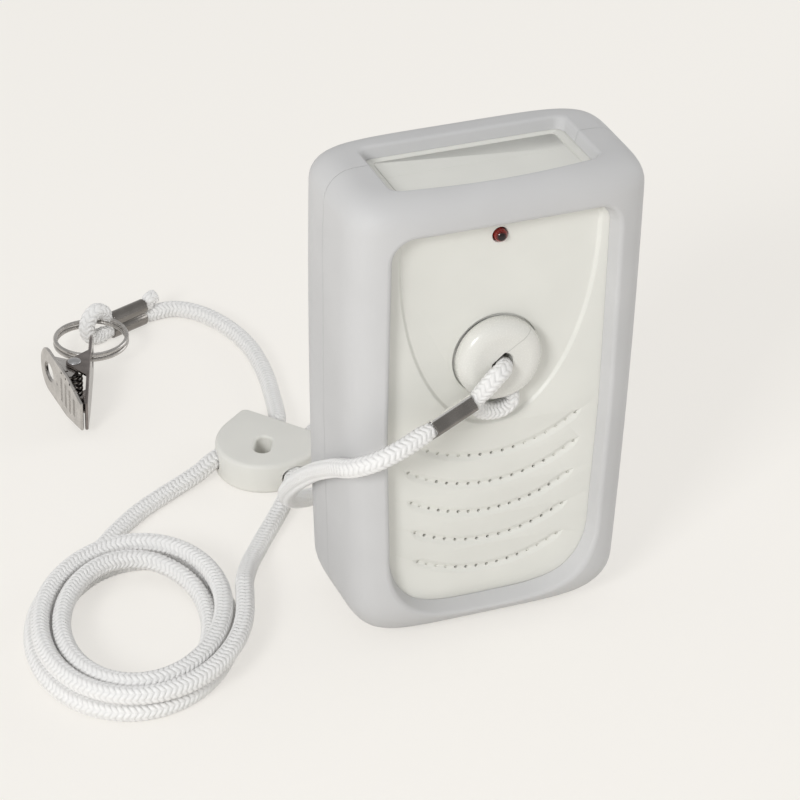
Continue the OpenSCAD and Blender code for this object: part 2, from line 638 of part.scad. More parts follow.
module disc_back() {
  color([0.55, 0.56, 0.58]) difference() {
    ycyl(0, disc_z, disc_y1 - 0.6, disc_y1, disc_d - 1);
    ycyl(0, disc_z, disc_y0, disc_y1 + 1, disc_hole + 1);
    channel(disc_y1 + 1);
  }
}
// A metal sleeve: two barrels side by side
module sleeve_form() {
  difference() {
    hull() for (s = [-1, 1]) translate([0, s * barrel, 0])
      cylinder(r = barrel + sleeve_t, h = sleeve_len);
    for (s = [-1, 1]) translate([0, s * barrel, -1])
      cylinder(r = barrel + 0.03, h = sleeve_len + 2);
    translate([-barrel * 0.5, -barrel, -1]) cube([barrel, crimp_d, sleeve_len + 2]);
  }
}
module disc_sleeve() {
  z = slv_dir;
  y = slv_up;
  x = cross(y, z);
  color([0.7, 0.7, 0.72]) multmatrix([[x[0], y[0], z[0], slv_at[0]], [x[1], y[1], z[1], slv_at[1]],
    [x[2], y[2], z[2], slv_at[2]], [0, 0, 0, 1]]) sleeve_form();
}
module disc_eye() {
  strand_back = [[-6.6, -17.9, 61.6], [-4.6, -17.2, 59.7], [-1.8, -16.5, 58.5],
    [1.2, -16.1, 58.5], [3.3, -15.95, 60.1], [3, disc_y1 - 2.2, 63.2], [1.9, disc_y1 - 2.2, 66.6]];
  strand_front = [[0.5, -15.9, 69.7], [-0.1, -17.6, 71], [-1.1, -19.8, 71.2], [-2.9, -21.2, 70.5],
    [-4.6, -21.5, 68.8], [-5.8, -21.1, 66.9], [-7, -20.6, 65.1]];
  q = barrel - 0.02;
  path = concat([slv_back_end + 0.4 * slv_dir, slv_back_end - 1 * slv_dir, slv_back],
    strand_back, strand_front, [slv_front, slv_front_end - 0.02 * slv_dir]);
  rad = [q * 0.9, q, q, 1.8, 2, 2.05, 2.05, 1.9, 1.75, 1.75, 1.8, 2, 2.1, 2.1, 2.1, 2, 1.8, q, q];
  color([0.95, 0.95, 0.94]) tube(path, rad, 8);
}

// Turns a point of the adjuster's own plan into the object's frame
function adj(u, v, z) = adj_c + [u * cos(adj_turn) - v * sin(adj_turn),
  u * sin(adj_turn) + v * cos(adj_turn), z];
adj_in_lead = adj(adj_mouth + 0.5, -5.6, adj_t / 2);
adj_out_lead = adj(-4.6, -11.4, adj_t / 2);
adj_in_clip = adj(adj_mouth + 0.5, 5.6, adj_t / 2);
adj_out_clip = adj(-9, 9, adj_t / 2);
module cord_lead() {
  p = concat([slv_front_end], laid(concat(lead_route, [adj_in_lead]), 2));
  color([0.95, 0.95, 0.94]) tube(p, [for (i = [0:len(p) - 1]) i == 0 ? barrel : rc], 8);
}
module cord_from_coil() {
  p = laid(concat([coil_end, coil_end + 5 * coil_out - [0, 0, 0.2]], from_route,
    [adj_out_lead, mix(adj_out_lead, adj_in_lead, 0.5), adj_in_lead]), 2);
  color([0.95, 0.95, 0.94]) tube(p, rc, 8);
}
module cord_to_coil() {
  p = laid(concat([adj_in_clip, mix(adj_in_clip, adj_out_clip, 0.5), adj_out_clip], to_route,
    [coil_start - 4 * coil_in, coil_start]), 2);
  color([0.95, 0.95, 0.94]) tube(p, rc, 8);
}
module cord_to_clip() {
  p = concat(laid(concat([adj_in_clip, adj(adj_mouth + 4, 5.6, adj_t / 2)], clip_route,
    [slc_at + [0, 0, slc_low] - 2.6 * slc_dir]), 2), [slc_at + [0, 0, slc_low]]);
  color([0.95, 0.95, 0.94]) tube(p, [for (i = [0:len(p) - 1]) i == len(p) - 1 ? barrel : rc], 8);
}
// Centre line of the coil: it spirals in on the floor, climbs, and spirals out on top
function coil_at(t) = let (ph = coil_from + 360 * t, s = coil_pitch * min(t, coil_turns - t),
  g = clamp((t - coil_turns / 2 + 0.25) / 0.5, 0, 1), h = g * g * (3 - 2 * g))
  coil_c + (coil_a - s) * cos(ph) * [cos(coil_az), -sin(coil_az), 0]
  + (coil_b - s) * sin(ph) * [sin(coil_az), cos(coil_az), 0] + [0, 0, cz + coil_rise * h];
coil_in = unit(coil_at(0.01) - coil_at(0));
coil_out = unit(coil_at(coil_turns) - coil_at(coil_turns - 0.01));
coil_start = coil_at(0) - cord_d * coil_in;
coil_end = coil_at(coil_turns) + cord_d * coil_out;
coil_path = let (m = round(coil_turns * coil_rings))
  concat([coil_start], [for (i = [0:m]) coil_at(coil_turns * i / m)], [coil_end]);
module cord_coil() {
  m = len(coil_path);
  far = coil_rings / 2;
  echo(least_gap = min([for (i = [0:m - 1]) for (k = [i + far:m - 1])
    norm(coil_path[i] - coil_path[k])]) - cord_d);
  color([0.95, 0.95, 0.94]) tube(coil_path, rc, 6);
}
// The adjuster: a flat D with two channels, a hollow mouth and a slanted slot
module adj_place() {
  translate(adj_c) rotate([0, 0, adj_turn]) children();
}
module bore_along(a, b, d, n = 24) {
  v = b - a;
  h = unit(v);
  u = unit(cross([0, 0, 1], h));
  w = cross(h, u);
  o = a - 6 * h;
  multmatrix([[u[0], w[0], h[0], o[0]], [u[1], w[1], h[1], o[1]], [u[2], w[2], h[2], o[2]],
    [0, 0, 0, 1]]) cylinder(d = d, h = norm(v) + 12, $fn = n);
}
module adj_plan(g) {
  polygon(concat([[11 - g, -13 + g], [11 - g, 13 - g], [3, 13 - g]],
    [for (i = [1:9]) let (t = 90 + 18 * i) [3 + (15 - g) * cos(t), (13 - g) * sin(t)]],
    [[3, -13 + g]]));
}
module adjuster() {
  color([0.93, 0.925, 0.9]) difference() {
    adj_place() hull() {
      translate([0, 0, 1]) linear_extrude(adj_t - 2) adj_plan(0);
      linear_extrude(adj_t) adj_plan(1);
    }
    bore_along(adj_in_lead, adj_out_lead, adj_bore);
    bore_along(adj_in_clip, adj_out_clip, adj_bore);
    adj_place() {
      // Hollow mouth
      translate([7, -10.4, 1.4]) cube([6, 20.8, adj_t - 2.8]);
      // Slot through both faces
      rotate([0, 0, 25]) hull() for (x = [-1.8, 1.8]) translate([x - 1.5, 0, -1])
        cylinder(d = 4, h = adj_t + 2, $fn = 24);
    }
  }
}
module clip_sleeve() {
  x = [0, 0, 1];
  z = slc_dir;
  y = cross(z, x);
  m = slc_at + [0, 0, (slc_low + slc_high) / 2];
  color([0.7, 0.7, 0.72]) multmatrix([[y[0], x[0], z[0], m[0]], [y[1], x[1], z[1], m[1]],
    [y[2], x[2], z[2], m[2]], [0, 0, 0, 1]]) sleeve_form();
}
module clip_eye() {
  q = barrel - 0.02;
  far = slc_end;
  path = concat([slc_at + [0, 0, slc_low] + 0.02 * slc_dir],
    [for (p = [[0, slc_low], [2.4, cz], [4.8, cz], [7, 3.4], [8, 6], [7, 8.6], [4.8, 9.8],
      [2.2, 8.5], [0, slc_high]]) far + p[0] * slc_dir + [0, 0, p[1]]],
    [slc_at + [0, 0, slc_high] - 0.3 * slc_dir, slc_at + [0, 0, slc_high + 1.3] - 2 * slc_dir,
      slc_at + [0, 0, slc_high + 1.7] - 4 * slc_dir]);
  rad = [q, q, 2, 2.1, 2.1, 2.1, 2.1, 2.1, 1.9, q, q, 1.9, 1.8];
  color([0.95, 0.95, 0.94]) tube(path, rad, 8);
}
module split_ring() {
  p = [for (i = [0:46]) let (t = 15 * i + ring_az - 171)
    ring_c + [ring_r * cos(t), ring_r * sin(t), ring_z + ring_step * i / 24 * 0.98]];
  color([0.75, 0.75, 0.77]) tube(p, ring_wire / 2, 6);
}

// The clip lies on its side. In its own plan the rear plate runs along +X from the ring hole.
module clip_place() {
  translate(clip_hole) rotate([0, 0, clip_turn]) children();
}
module plate_plan(x0, hole_x) {
  difference() {
    union() {
      polygon([[x0, 0], [tip_x - 11, 0], [tip_x, 2.2], [tip_x, clip_w - 2.2],
        [tip_x - 11, clip_w], [x0, clip_w]]);
      translate([x0, clip_w / 2]) circle(d = clip_w, $fn = 48);
    }
    translate([hole_x, clip_w / 2]) circle(d = 4.4);
  }
}
// One plate with its two ears: the other plate lies on its -Y side
module jaw(x0, hole_x, off, ear_z, hole) {
  difference() {
    union() {
      translate([0, off + clip_t, 0]) rotate([90, 0, 0]) linear_extrude(clip_t)
        plate_plan(x0, hole_x);
      for (z = [ear_z, clip_w - ear_z - clip_t]) translate([0, 0, z]) linear_extrude(clip_t)
        hull() {
          translate([pin_x - 6.5, off]) square([13, clip_t]);
          translate([pin_x, pin_y]) circle(r = 2.1);
        }
    }
    translate([pin_x, pin_y, -1]) cylinder(d = hole, h = clip_w + 2);
  }
}
module clip_rear() {
  color([0.45, 0.43, 0.42]) clip_place() jaw(0, 0, 0, 0, pin_d);
}
module clip_front() {
  color([0.75, 0.75, 0.77]) clip_place() translate([tip_x, 0, 0]) rotate([0, 0, clip_angle])
    mirror([0, 1, 0]) translate([-tip_x, 0, 0]) jaw(4, 4.6, gap, clip_t + 0.1, pin_d + 0.1);
}
module clip_pin() {
  color([0.7, 0.7, 0.72]) clip_place() translate([pin_x, pin_y, 0.05])
    cylinder(d = pin_d, h = clip_w - 0.1, $fn = 32);
}
module clip_spring() {
  r = 1.75;
  turns = 5;
  z0 = 2.6;
  step = (clip_w - 2 * z0) / turns;
  helix = [for (i = [0:turns * 8]) let (t = 45 * i) [pin_x + r * cos(t), pin_y + r * sin(t),
    z0 + step * i / 8]];
  color([0.75, 0.75, 0.77]) clip_place() tube(helix, 0.35, 6);
}

boot();
front_shell();
rear_shell();
battery_door();
case_screws();
circuit_board();
board_screws();
lamp();
lamp_spacer();
reed_switch();
reed_leads();
keeper_ring();
speaker_gasket();
speaker_basket();
speaker_magnet();
speaker_cone();
speaker_leads();
switch_body();
volume_slider();
battery();
battery_terminals();
battery_snap();
battery_leads();
control_chip();
capacitors();
resistors();
disc_cap();
disc_magnets();
disc_back();
disc_eye();
disc_sleeve();
cord_lead();
cord_from_coil();
cord_coil();
cord_to_coil();
cord_to_clip();
adjuster();
clip_sleeve();
clip_eye();
split_ring();
clip_front();
clip_rear();
clip_spring();
clip_pin();
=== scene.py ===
import json
import math

import bpy
import bmesh
import numpy as np
from mathutils import Matrix, Vector

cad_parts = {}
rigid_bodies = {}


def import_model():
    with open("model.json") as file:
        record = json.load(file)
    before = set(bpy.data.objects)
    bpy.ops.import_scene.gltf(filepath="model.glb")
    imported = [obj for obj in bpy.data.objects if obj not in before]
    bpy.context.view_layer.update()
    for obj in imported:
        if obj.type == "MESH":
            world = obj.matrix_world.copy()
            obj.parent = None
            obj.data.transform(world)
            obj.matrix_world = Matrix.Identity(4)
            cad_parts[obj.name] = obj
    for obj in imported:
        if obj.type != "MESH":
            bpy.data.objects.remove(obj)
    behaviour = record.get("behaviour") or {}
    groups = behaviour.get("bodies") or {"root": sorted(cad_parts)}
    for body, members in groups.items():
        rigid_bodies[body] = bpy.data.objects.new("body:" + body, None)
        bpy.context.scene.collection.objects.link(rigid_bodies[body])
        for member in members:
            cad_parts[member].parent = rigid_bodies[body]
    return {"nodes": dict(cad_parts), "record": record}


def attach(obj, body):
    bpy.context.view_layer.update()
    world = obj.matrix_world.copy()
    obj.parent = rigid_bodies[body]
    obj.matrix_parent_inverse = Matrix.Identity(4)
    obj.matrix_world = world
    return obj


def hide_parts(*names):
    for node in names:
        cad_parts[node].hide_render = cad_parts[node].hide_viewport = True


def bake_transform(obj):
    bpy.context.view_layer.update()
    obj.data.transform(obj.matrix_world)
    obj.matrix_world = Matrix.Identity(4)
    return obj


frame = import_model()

bl_info = {
    "name": "Personal alarm",
    "version": (1, 0, 0),
    "blender": (4, 5, 0),
    "location": "View3D > Sidebar > Alarm",
    "description": "Dresses the packed personal alarm with its surfaces, its cord and its clip",
    "category": "Object",
}

MM = 0.001
SHARP = 35      # degrees: faces that meet at more than this keep a sharp edge

# The case and its boot in millimetres, as in the CAD source
BOOT_H, BOOT_W, BOOT_D, TAPER, SQUARE = 115, 67.5, 38.2, 0.048, 5.2
WALL, TOP_ROUND, FOOT = 3.2, 7, 12
TOP_W, REAR_W = 48.8, 46
FACE, BACK, CASE_WALL, CASE_R = 14.4, 15.6, 2.2, 4
CASE_Z0, CASE_Z1, CASE_EDGE, CASE_FOOT = 3, 112, 3, 9
WALL_IN = -FACE + CASE_WALL
LAMP_Z, DISC_Z, DISC_R = 101.2, 71.2, 10
GRILLE_Z, GRILLE_STEP, GRILLE_R = 15.5, 7.5, 34.5
GRILLE_ROWS = ((15, 17.2), (15, 18.1), (17, 19.2), (17, 20.2), (17, 20.3))
SPEAKER_Z, SPEAKER_D = 30.5, 36
BOSS_X, BOSS_LOW, BOSS_HIGH = 25.5, 13, 100
SOCKET_Y = -FACE + 1.3
DISC_FRONT, DISC_BACK, CHANNEL_TURN = -18.4, -13.8, math.radians(-72.5)
REED_X, REED_Y = 12.4, -9.4

# What follows the photograph more closely than the CAD source does
WIN_HALF, WIN_TOP, WIN_BOTTOM, WIN_BOW, WIN_CORNER, WIN_SQUARE = 26.6, 106.1, 6.2, 21, 5.5, 2.8
SHIELD_A, SHIELD_B, SHIELD_Z, SHIELD_TOP, SHIELD_DEEP = 23.6, 46, 100, 106.5, 0.7
HOLE_D, GROOVE_HALF = 0.8, 1.5
HOLE_R, CHORD, CHORD_TURN = 2.5, 1.7, math.radians(40)
SLIT_TURN, SLIT_ASIDE = math.radians(35), 1.69
STITCH_COLUMNS, STITCH_SLANT = 8.0, 0.36


# Lines and frames

def unit(v):
    v = np.asarray(v, float)
    return v / np.linalg.norm(v)


def angles(a0, a1, n):
    """n angles from one to another, which are given in degrees."""
    return np.radians(np.linspace(a0, a1, n))


def arc(cx, cy, r, a0, a1, n):
    return [(cx + r * math.cos(t), cy + r * math.sin(t)) for t in angles(a0, a1, n + 1)]


def rounded(half, low, high, r, n):
    """A rectangle with round corners, from -half to half and from low to high."""
    middles = (half - r, high - r), (r - half, high - r), (r - half, low + r), (half - r, low + r)
    return [p for k, (x, y) in enumerate(middles) for p in arc(x, y, r, 90 * k, 90 * k + 90, n)]


def quarter(r, n):
    """A rounded edge from its rim: how high each point lies, and how far in."""
    return [(r * (1 - math.cos(t)), r * (1 - math.sin(t))) for t in angles(0, 90, n)]


def smooth(p, n):
    """A Catmull-Rom curve through points p, with n steps between neighbours."""
    p = [np.asarray(q, float) for q in p]
    e = [2 * p[0] - p[1]] + p + [2 * p[-1] - p[-2]]
    out = []
    for a, b, c, d in zip(e, e[1:], e[2:], e[3:]):
        for k in range(n):
            t = k / n
            out.append(0.5 * (2 * b + (c - a) * t + (2 * a - 5 * b + 4 * c - d) * t * t
                              + (3 * b - a - 3 * c + d) * t ** 3))
    return np.array(out + [p[-1]])


def travelled(p):
    """The length along a line at each of its points."""
    return np.concatenate([[0], np.cumsum(np.linalg.norm(np.diff(p, axis=0), axis=1))])


def even(p, step):
    """The same line with points about one step apart."""
    p = np.asarray(p, float)
    s = travelled(p)
    t = np.linspace(0, s[-1], max(2, int(round(s[-1] / step))) + 1)
    return np.stack([np.interp(t, s, p[:, i]) for i in range(3)], 1)


def eased(p, times):
    """Takes kinks out of a line, and keeps its ends."""
    for _ in range(times):
        p[1:-1] = 0.25 * p[:-2] + 0.5 * p[1:-1] + 0.25 * p[2:]
    return p


def along(p):
    """Direction, side and up of a line at each of its points, without twist."""
    h = np.gradient(p, axis=0)
    h /= np.linalg.norm(h, axis=1)[:, None]
    u = np.zeros_like(h)
    u[0] = unit(np.cross(h[0], (0, 0, 1) if abs(h[0][2]) < 0.8 else (0, 1, 0)))
    for i in range(1, len(p)):
        w = u[i - 1] - (u[i - 1] @ h[i]) * h[i]
        u[i] = w / np.linalg.norm(w)
    return h, u, np.cross(h, u)


def circle(at, axis, r, n):
    z = unit(axis)
    x = unit(np.cross((0, 1, 0) if abs(z[1]) < 0.9 else (0, 0, 1), z))
    y = np.cross(z, x)
    t = np.linspace(0, 2 * math.pi, n, endpoint=False)[:, None]
    return np.asarray(at, float) + r * (np.cos(t) * x + np.sin(t) * y)


# Meshes

def added(name, data):
    """A new object in the scene."""
    o = bpy.data.objects.new(name, data)
    bpy.context.scene.collection.objects.link(o)
    return o


def put(name, verts, faces, angle=SHARP, uv=None):
    """A new object at the origin from points in millimetres."""
    me = bpy.data.meshes.new(name)
    me.from_pydata((np.asarray(verts, float) * MM).tolist(), [], faces)
    if uv is not None:
        layer = me.uv_layers.new(name="UVMap")
        layer.data.foreach_set("uv", np.asarray(uv, np.float32).ravel())
    o = added(name, me)
    shade(o, angle)
    return o


def shade(o, angle=SHARP):
    """Smooth faces, with a sharp edge where two meet at more than an angle."""
    o.data.shade_smooth()
    if angle < 180:
        o.data.set_sharp_from_angle(angle=math.radians(angle))


def mend(o, merge=0.0, flat=0.0):
    """Merges doubles, joins flat faces and turns all faces outwards."""
    bm = bmesh.new()
    bm.from_mesh(o.data)
    if merge:
        bmesh.ops.remove_doubles(bm, verts=bm.verts, dist=merge * MM)
    if flat:
        bmesh.ops.dissolve_limit(bm, angle_limit=math.radians(flat), verts=bm.verts, edges=bm.edges)
    bmesh.ops.recalc_face_normals(bm, faces=bm.faces)
    bm.to_mesh(o.data)
    bm.free()
    return o


def skin(name, loops, closed=False):
    """A solid between loops of points. A closed one is a ring, whose last loop meets its first."""
    n, m = len(loops[0]), len(loops)
    pts = np.concatenate([np.asarray(r, float) for r in loops])
    faces = []
    for i in range(m if closed else m - 1):
        j = (i + 1) % m
        for k in range(n):
            q = (k + 1) % n
            faces.append((i * n + k, i * n + q, j * n + q, j * n + k))
    if not closed:
        faces.append(tuple(range(n))[::-1])
        faces.append(tuple((m - 1) * n + k for k in range(n)))
    return mend(put(name, pts, faces))


def turned(name, profile, at, axis, n=64, closed=False):
    """A turned form: the profile's points are radius and height along the axis."""
    return skin(name, [circle(np.asarray(at) + h * unit(axis), axis, r, n) for r, h in profile], closed)


def rod(name, a, b, r, n=48):
    a, b = np.asarray(a, float), np.asarray(b, float)
    return skin(name, [circle(a, b - a, r, n), circle(b, b - a, r, n)])


def block(name, x0, x1, y0, y1, z0, z1):
    low = [(x0, y0, z0), (x1, y0, z0), (x1, y1, z0), (x0, y1, z0)]
    return skin(name, [low, [(x, y, z1) for x, y, _ in low]])


def slab(name, place, x0, x1, z0, z1, y0, y1):
    """A box in a plan of its own, whose points a function puts in the shared frame."""
    plan = ((x0, z0), (x1, z0), (x1, z1), (x0, z1))
    return skin(name, [[place(x, y, z) for x, z in plan] for y in (y0, y1)])


def settle(o):
    """Makes the result of an object's modifiers its plain mesh."""
    bpy.context.view_layer.update()
    me = bpy.data.meshes.new_from_object(o.evaluated_get(bpy.context.evaluated_depsgraph_get()))
    o.modifiers.clear()
    o.data = me
    return o


def combine(o, others, operation="DIFFERENCE"):
    """Cuts the others out of an object, or unites them with it, and removes them."""
    for c in others:
        m = o.modifiers.new("Cut", "BOOLEAN")
        m.operation, m.solver, m.object = operation, "EXACT", c
        settle(o)
        bpy.data.objects.remove(c)
    return o


def bevel(o, width, segments=2):
    m = o.modifiers.new("Bevel", "BEVEL")
    m.width, m.segments, m.limit_method, m.angle_limit = width * MM, segments, "ANGLE", math.radians(SHARP)
    return settle(o)


def tube(name, p, r, n=16, swell=None):
    """A tube along a line, with its length and its turn as UV. swell(s, turn) lifts the surface."""
    h, u, v = along(p)
    s = travelled(p)
    r = np.broadcast_to(np.asarray(r, float), (len(p),))
    turn = np.linspace(0, 1, n, endpoint=False)
    a = 2 * math.pi * turn
    rad = r[:, None] + (0 if swell is None else swell(s[:, None], turn[None, :]) * (r[:, None] / r.max()))
    pts = p[:, None, :] + rad[..., None] * (np.cos(a)[None, :, None] * u[:, None, :]
                                            + np.sin(a)[None, :, None] * v[:, None, :])
    m = len(p)
    i, k = np.meshgrid(np.arange(m - 1), np.arange(n), indexing="ij")
    q = (k + 1) % n
    faces = np.stack([i * n + k, i * n + q, (i + 1) * n + q, (i + 1) * n + k], -1).reshape(-1, 4).tolist()
    t0, t1 = k / n, (k + 1) / n
    uv = np.stack([s[i], t0, s[i], t1, s[i + 1], t1, s[i + 1], t0], -1).reshape(-1, 2).tolist()
    faces.append(list(range(n))[::-1])
    faces.append([(m - 1) * n + j for j in range(n)])
    uv += [[s[0], j / n] for j in reversed(range(n))] + [[s[-1], j / n] for j in range(n)]
    return put(name, pts.reshape(-1, 3), faces, 180, uv)


def copied(node, name, width=0.0):
    """A smoothed copy of a CAD node, with its edges eased by a width."""
    o = mend(added(name, frame["nodes"][node].data.copy()), 0.002, 0.5)
    if width:
        bevel(o, width)
    shade(o)
    return o


def tidied(o, angle):
    """Closes the seams that a cut leaves, and smooths what is flatter than an angle."""
    shade(mend(o, 0.001), angle)
    return o


# The boot and the case: their plans and their surfaces

def boot_half(z):
    """Half of the boot's width at a height: it tapers, and its sides bulge a little."""
    s = 2 * z / BOOT_H - 1
    return BOOT_W / 2 * (1 + TAPER * s) + 0.9 * (1 - s * s)


def inset(z):
    """How far the rounded foot and top draw the boot's plan in at a height."""
    f = min(1, max(0, 1 - z / FOOT))
    t = min(1, max(0, 1 - (BOOT_H - z) / TOP_ROUND))
    return FOOT * (1 - math.sqrt(1 - f * f)) + TOP_ROUND * (1 - math.sqrt(1 - t * t))


def boot_y(x, z):
    """The boot's front or back surface, as a distance from its middle plane."""
    a, b = boot_half(z) - inset(z), BOOT_D / 2 - inset(z)
    return b * (1 - min(0.999, abs(x / a)) ** SQUARE) ** (1 / SQUARE)


def boot_top(y):
    """The height of the boot's top surface at a distance from its middle plane."""
    t = min(1, max(0, 1 - (BOOT_D / 2 - abs(y)) / TOP_ROUND))
    return BOOT_H - TOP_ROUND * (1 - math.sqrt(1 - t * t))


def boot_ring(z, g):
    """The boot's plan at a height, drawn in by g, with points evenly apart."""
    n, a, b = 184, boot_half(z) - g, BOOT_D / 2 - g
    t = np.linspace(0, 2 * math.pi, 4001)
    c, s = np.cos(t), np.sin(t)
    p = np.stack([a * np.sign(c) * abs(c) ** (2 / SQUARE), b * np.sign(s) * abs(s) ** (2 / SQUARE)], 1)
    d = travelled(p)
    u = np.linspace(0, d[-1], n, endpoint=False)
    return np.stack([np.interp(u, d, p[:, 0]), np.interp(u, d, p[:, 1]), np.full(n, z)], 1)


def both_sides(right):
    """A closed outline from its right half, which runs from x = 0 to x = 0."""
    return list(right) + [(-x, v) for x, v in right[-2:0:-1]]


def window_line(g):
    """Outline of the front opening, drawn in by g: its sides and its foot bow."""
    c, high, low, half = WIN_HALF - WIN_CORNER, WIN_TOP - WIN_CORNER, WIN_BOTTOM + WIN_BOW, WIN_HALF - 1.2
    z = np.linspace(high, low, 49)
    x = eased(np.interp(z, [low, 54, 80, high], [half, WIN_HALF - 0.1, WIN_HALF, WIN_HALF]), 8) - g
    right = [(q, WIN_TOP - g) for q in np.linspace(0, c, 18, endpoint=False)]
    right += arc(c, high, WIN_CORNER - g, 90, 0, 12)
    right += list(zip(x[1:-1], z[1:-1]))
    # The foot is a quarter of a superellipse
    power = 2 / WIN_SQUARE
    right += [((half - g) * math.cos(t) ** power, low - (WIN_BOW - g) * math.sin(t) ** power)
              for t in angles(0, 90, 33)]
    right[-1] = (0, WIN_BOTTOM + g)
    return both_sides(right)


def top_line(g):
    """Outline of the opening in the top, drawn in by g: its front edge bows forwards."""
    a, front, bow, back, r = TOP_W / 2 - g, -12.9, 1.9, 9.5, 2.5
    right = [(x, front + g + bow * (x / (TOP_W / 2)) ** 2) for x in np.linspace(0, a - 2.4, 20)]
    right += arc(a - r, -8.6 + g, r, -62, 0, 8)
    right += arc(a - r, back - r - g, r, 0, 90, 10)
    right += [(x, back - g) for x in np.linspace(a - r, 0, 12)[1:]]
    return both_sides(right)


def rear_line(g):
    """Outline of the opening in the back, drawn in by g."""
    low, high, half, r = 6.6, BOOT_H - 10, REAR_W / 2, 6
    right = [(x, high - g) for x in np.linspace(0, half - r, 10, endpoint=False)]
    right += arc(half - r, high - r, r - g, 90, 0, 12)
    right += [(half - g, z) for z in np.linspace(high - r, low + r, 40)[1:-1]]
    right += arc(half - r, low + r, r - g, 0, -90, 12)
    right += [(x, low + g) for x in np.linspace(half - r, 0, 10)[1:]]
    return both_sides(right)


def lip(r):
    """Points of an opening's rounded edge: how far out, and how deep under the surface."""
    return [(-r + r * math.cos(t), r - r * math.sin(t)) for t in angles(15, 82, 8)]


def case_ring(z, g):
    """The case's plan at a height, drawn in by g."""
    plan = rounded(boot_half(z) - WALL - g, -FACE + g, BACK - g, max(0.8, CASE_R - g), 10)
    return [(x, y, z) for x, y in plan]


def case_form(name, g):
    """The case's outer form, drawn in by g."""
    z0, z1 = CASE_Z0 + g, CASE_Z1 - g
    e, f = max(0.6, CASE_EDGE - g), max(0.6, CASE_FOOT - g)
    loops = [case_ring(z0 + up, g + off) for up, off in quarter(f, 15)]
    loops += [case_ring(z, g) for z in np.linspace(z0 + f, z1 - e, 16)[1:-1]]
    loops += [case_ring(z1 - down, g + off) for down, off in quarter(e, 9)[::-1]]
    return skin(name, loops)


def shield_line(g):
    """Outline of the shield-shaped recess, drawn in by g."""
    a, b, flare, corner = SHIELD_A - g, SHIELD_B - g, 0.3, 2
    wide, top = a + flare, SHIELD_TOP - g
    right = [(x, top) for x in np.linspace(0, wide - corner, 12, endpoint=False)]
    right += arc(wide - corner, top - corner, corner, 90, 6, 6)
    right += [(a + flare * (z - SHIELD_Z) / 5, z) for z in np.linspace(top - 2.2, SHIELD_Z + 0.6, 5)]
    right += [(a * math.cos(t), SHIELD_Z + b * math.sin(t)) for t in angles(0, -90, 41)]
    return both_sides(right)


# The cord's route: the same points as in the CAD source

CORD_D = 4.4
RC = CORD_D / 2
SLEEVE_LEN, BARREL, SLEEVE_T = 11, 1.6, 0.45
SLV_AT = np.array([-8.3, -19.6, 63.2])
SLV_DIR, SLV_UP = unit([-0.93, -0.22, -0.29]), unit([-0.024, -0.758, 0.652])
SLV_FRONT, SLV_BACK = SLV_AT + BARREL * SLV_UP, SLV_AT - BARREL * SLV_UP
SLV_FRONT_END, SLV_BACK_END = SLV_FRONT + SLEEVE_LEN * SLV_DIR, SLV_BACK + SLEEVE_LEN * SLV_DIR
SLC_AT, SLC_DIR = np.array([-31.1, 141.8, 0]), unit([-0.93, -0.37, 0])
SLC_LOW = BARREL + SLEEVE_T + 0.1
SLC_HIGH = SLC_LOW + 2 * BARREL
SLC_END = SLC_AT + SLEEVE_LEN * SLC_DIR
RING_R, RING_WIRE, RING_AZ = 9.2, 1.1, math.radians(238)
RING_C = SLC_END + 3.6 * SLC_DIR + RING_R * np.array([math.cos(RING_AZ), math.sin(RING_AZ), 0])
RING_Z = CORD_D + RING_WIRE / 2 - 0.1
CLIP_TURN, CLIP_W, CLIP_T, CLIP_ANGLE = math.radians(250), 12, 0.8, math.radians(22)
CLIP_HOLE = RING_C + RING_R * np.array([math.cos(CLIP_TURN), math.sin(CLIP_TURN), 0])
TIP_X, PIVOT_LEN, PIN_D = 28.5, 17, 2
PIN_X, PIN_Y = TIP_X - PIVOT_LEN * math.cos(CLIP_ANGLE / 2), -PIVOT_LEN * math.sin(CLIP_ANGLE / 2)
ADJ_C, ADJ_TURN, ADJ_T = np.array([-25.6, 64.5, 0]), math.radians(37.7), 8
ADJ_MOUTH, ADJ_HALF, ADJ_ROUND = 11, 13, 15
COIL_C, COIL_SHORT, COIL_LONG, COIL_AZ = np.array([-77.5, 6, 0]), 24.5, 33, math.radians(23)
COIL_TURNS, COIL_PITCH, COIL_START = 3.65, 4.9, 135
LEAD = [[-21.6, -23.9, 60.1], [-26.5, -24.8, 58.4], [-32, -24.2, 56], [-36, -20.4, 53],
        [-37.2, -14, 49.6], [-37, -7, 45], [-36.8, 1, 39.4], [-36.6, 9, 33], [-36, 16.6, 26.4],
        [-34.8, 23.6, 19.8], [-31.8, 30.2, 13.6], [-26.8, 36.4, 8.4], [-20.4, 42, 4.6],
        [-12.6, 46.6, 2.8], [-4, 51.4, RC], [3, 58, RC], [5, 66.5, RC], [0.6, 73.6, RC],
        [-6.6, 73.8, 2.8], [-11.5, 69.1, ADJ_T / 2]]
FROM = [[-45, 21, 3.6], [-39.8, 29, RC], [-34, 36.5, RC], [-28.4, 43.4, 2.9], [-23.6, 50, ADJ_T / 2]]
TO = [[-43.5, 63.2, 2.9], [-52, 59, RC], [-61, 53.4, RC], [-68.4, 47.4, RC], [-74.4, 41.6, RC]]
CLIP = [[-14.8, 85.5, 3], [-13, 93, RC], [-11.4, 101, RC], [-10.4, 109.5, RC], [-10.2, 118, RC],
        [-11.6, 127, RC], [-14.4, 134.8, RC], [-18.5, 140.6, RC], [-23.2, 143.2, 2.2]]


def adj(u, v, z):
    """A point of the adjuster's own plan in the shared frame."""
    c, s = math.cos(ADJ_TURN), math.sin(ADJ_TURN)
    return ADJ_C + np.array([u * c - v * s, u * s + v * c, z])


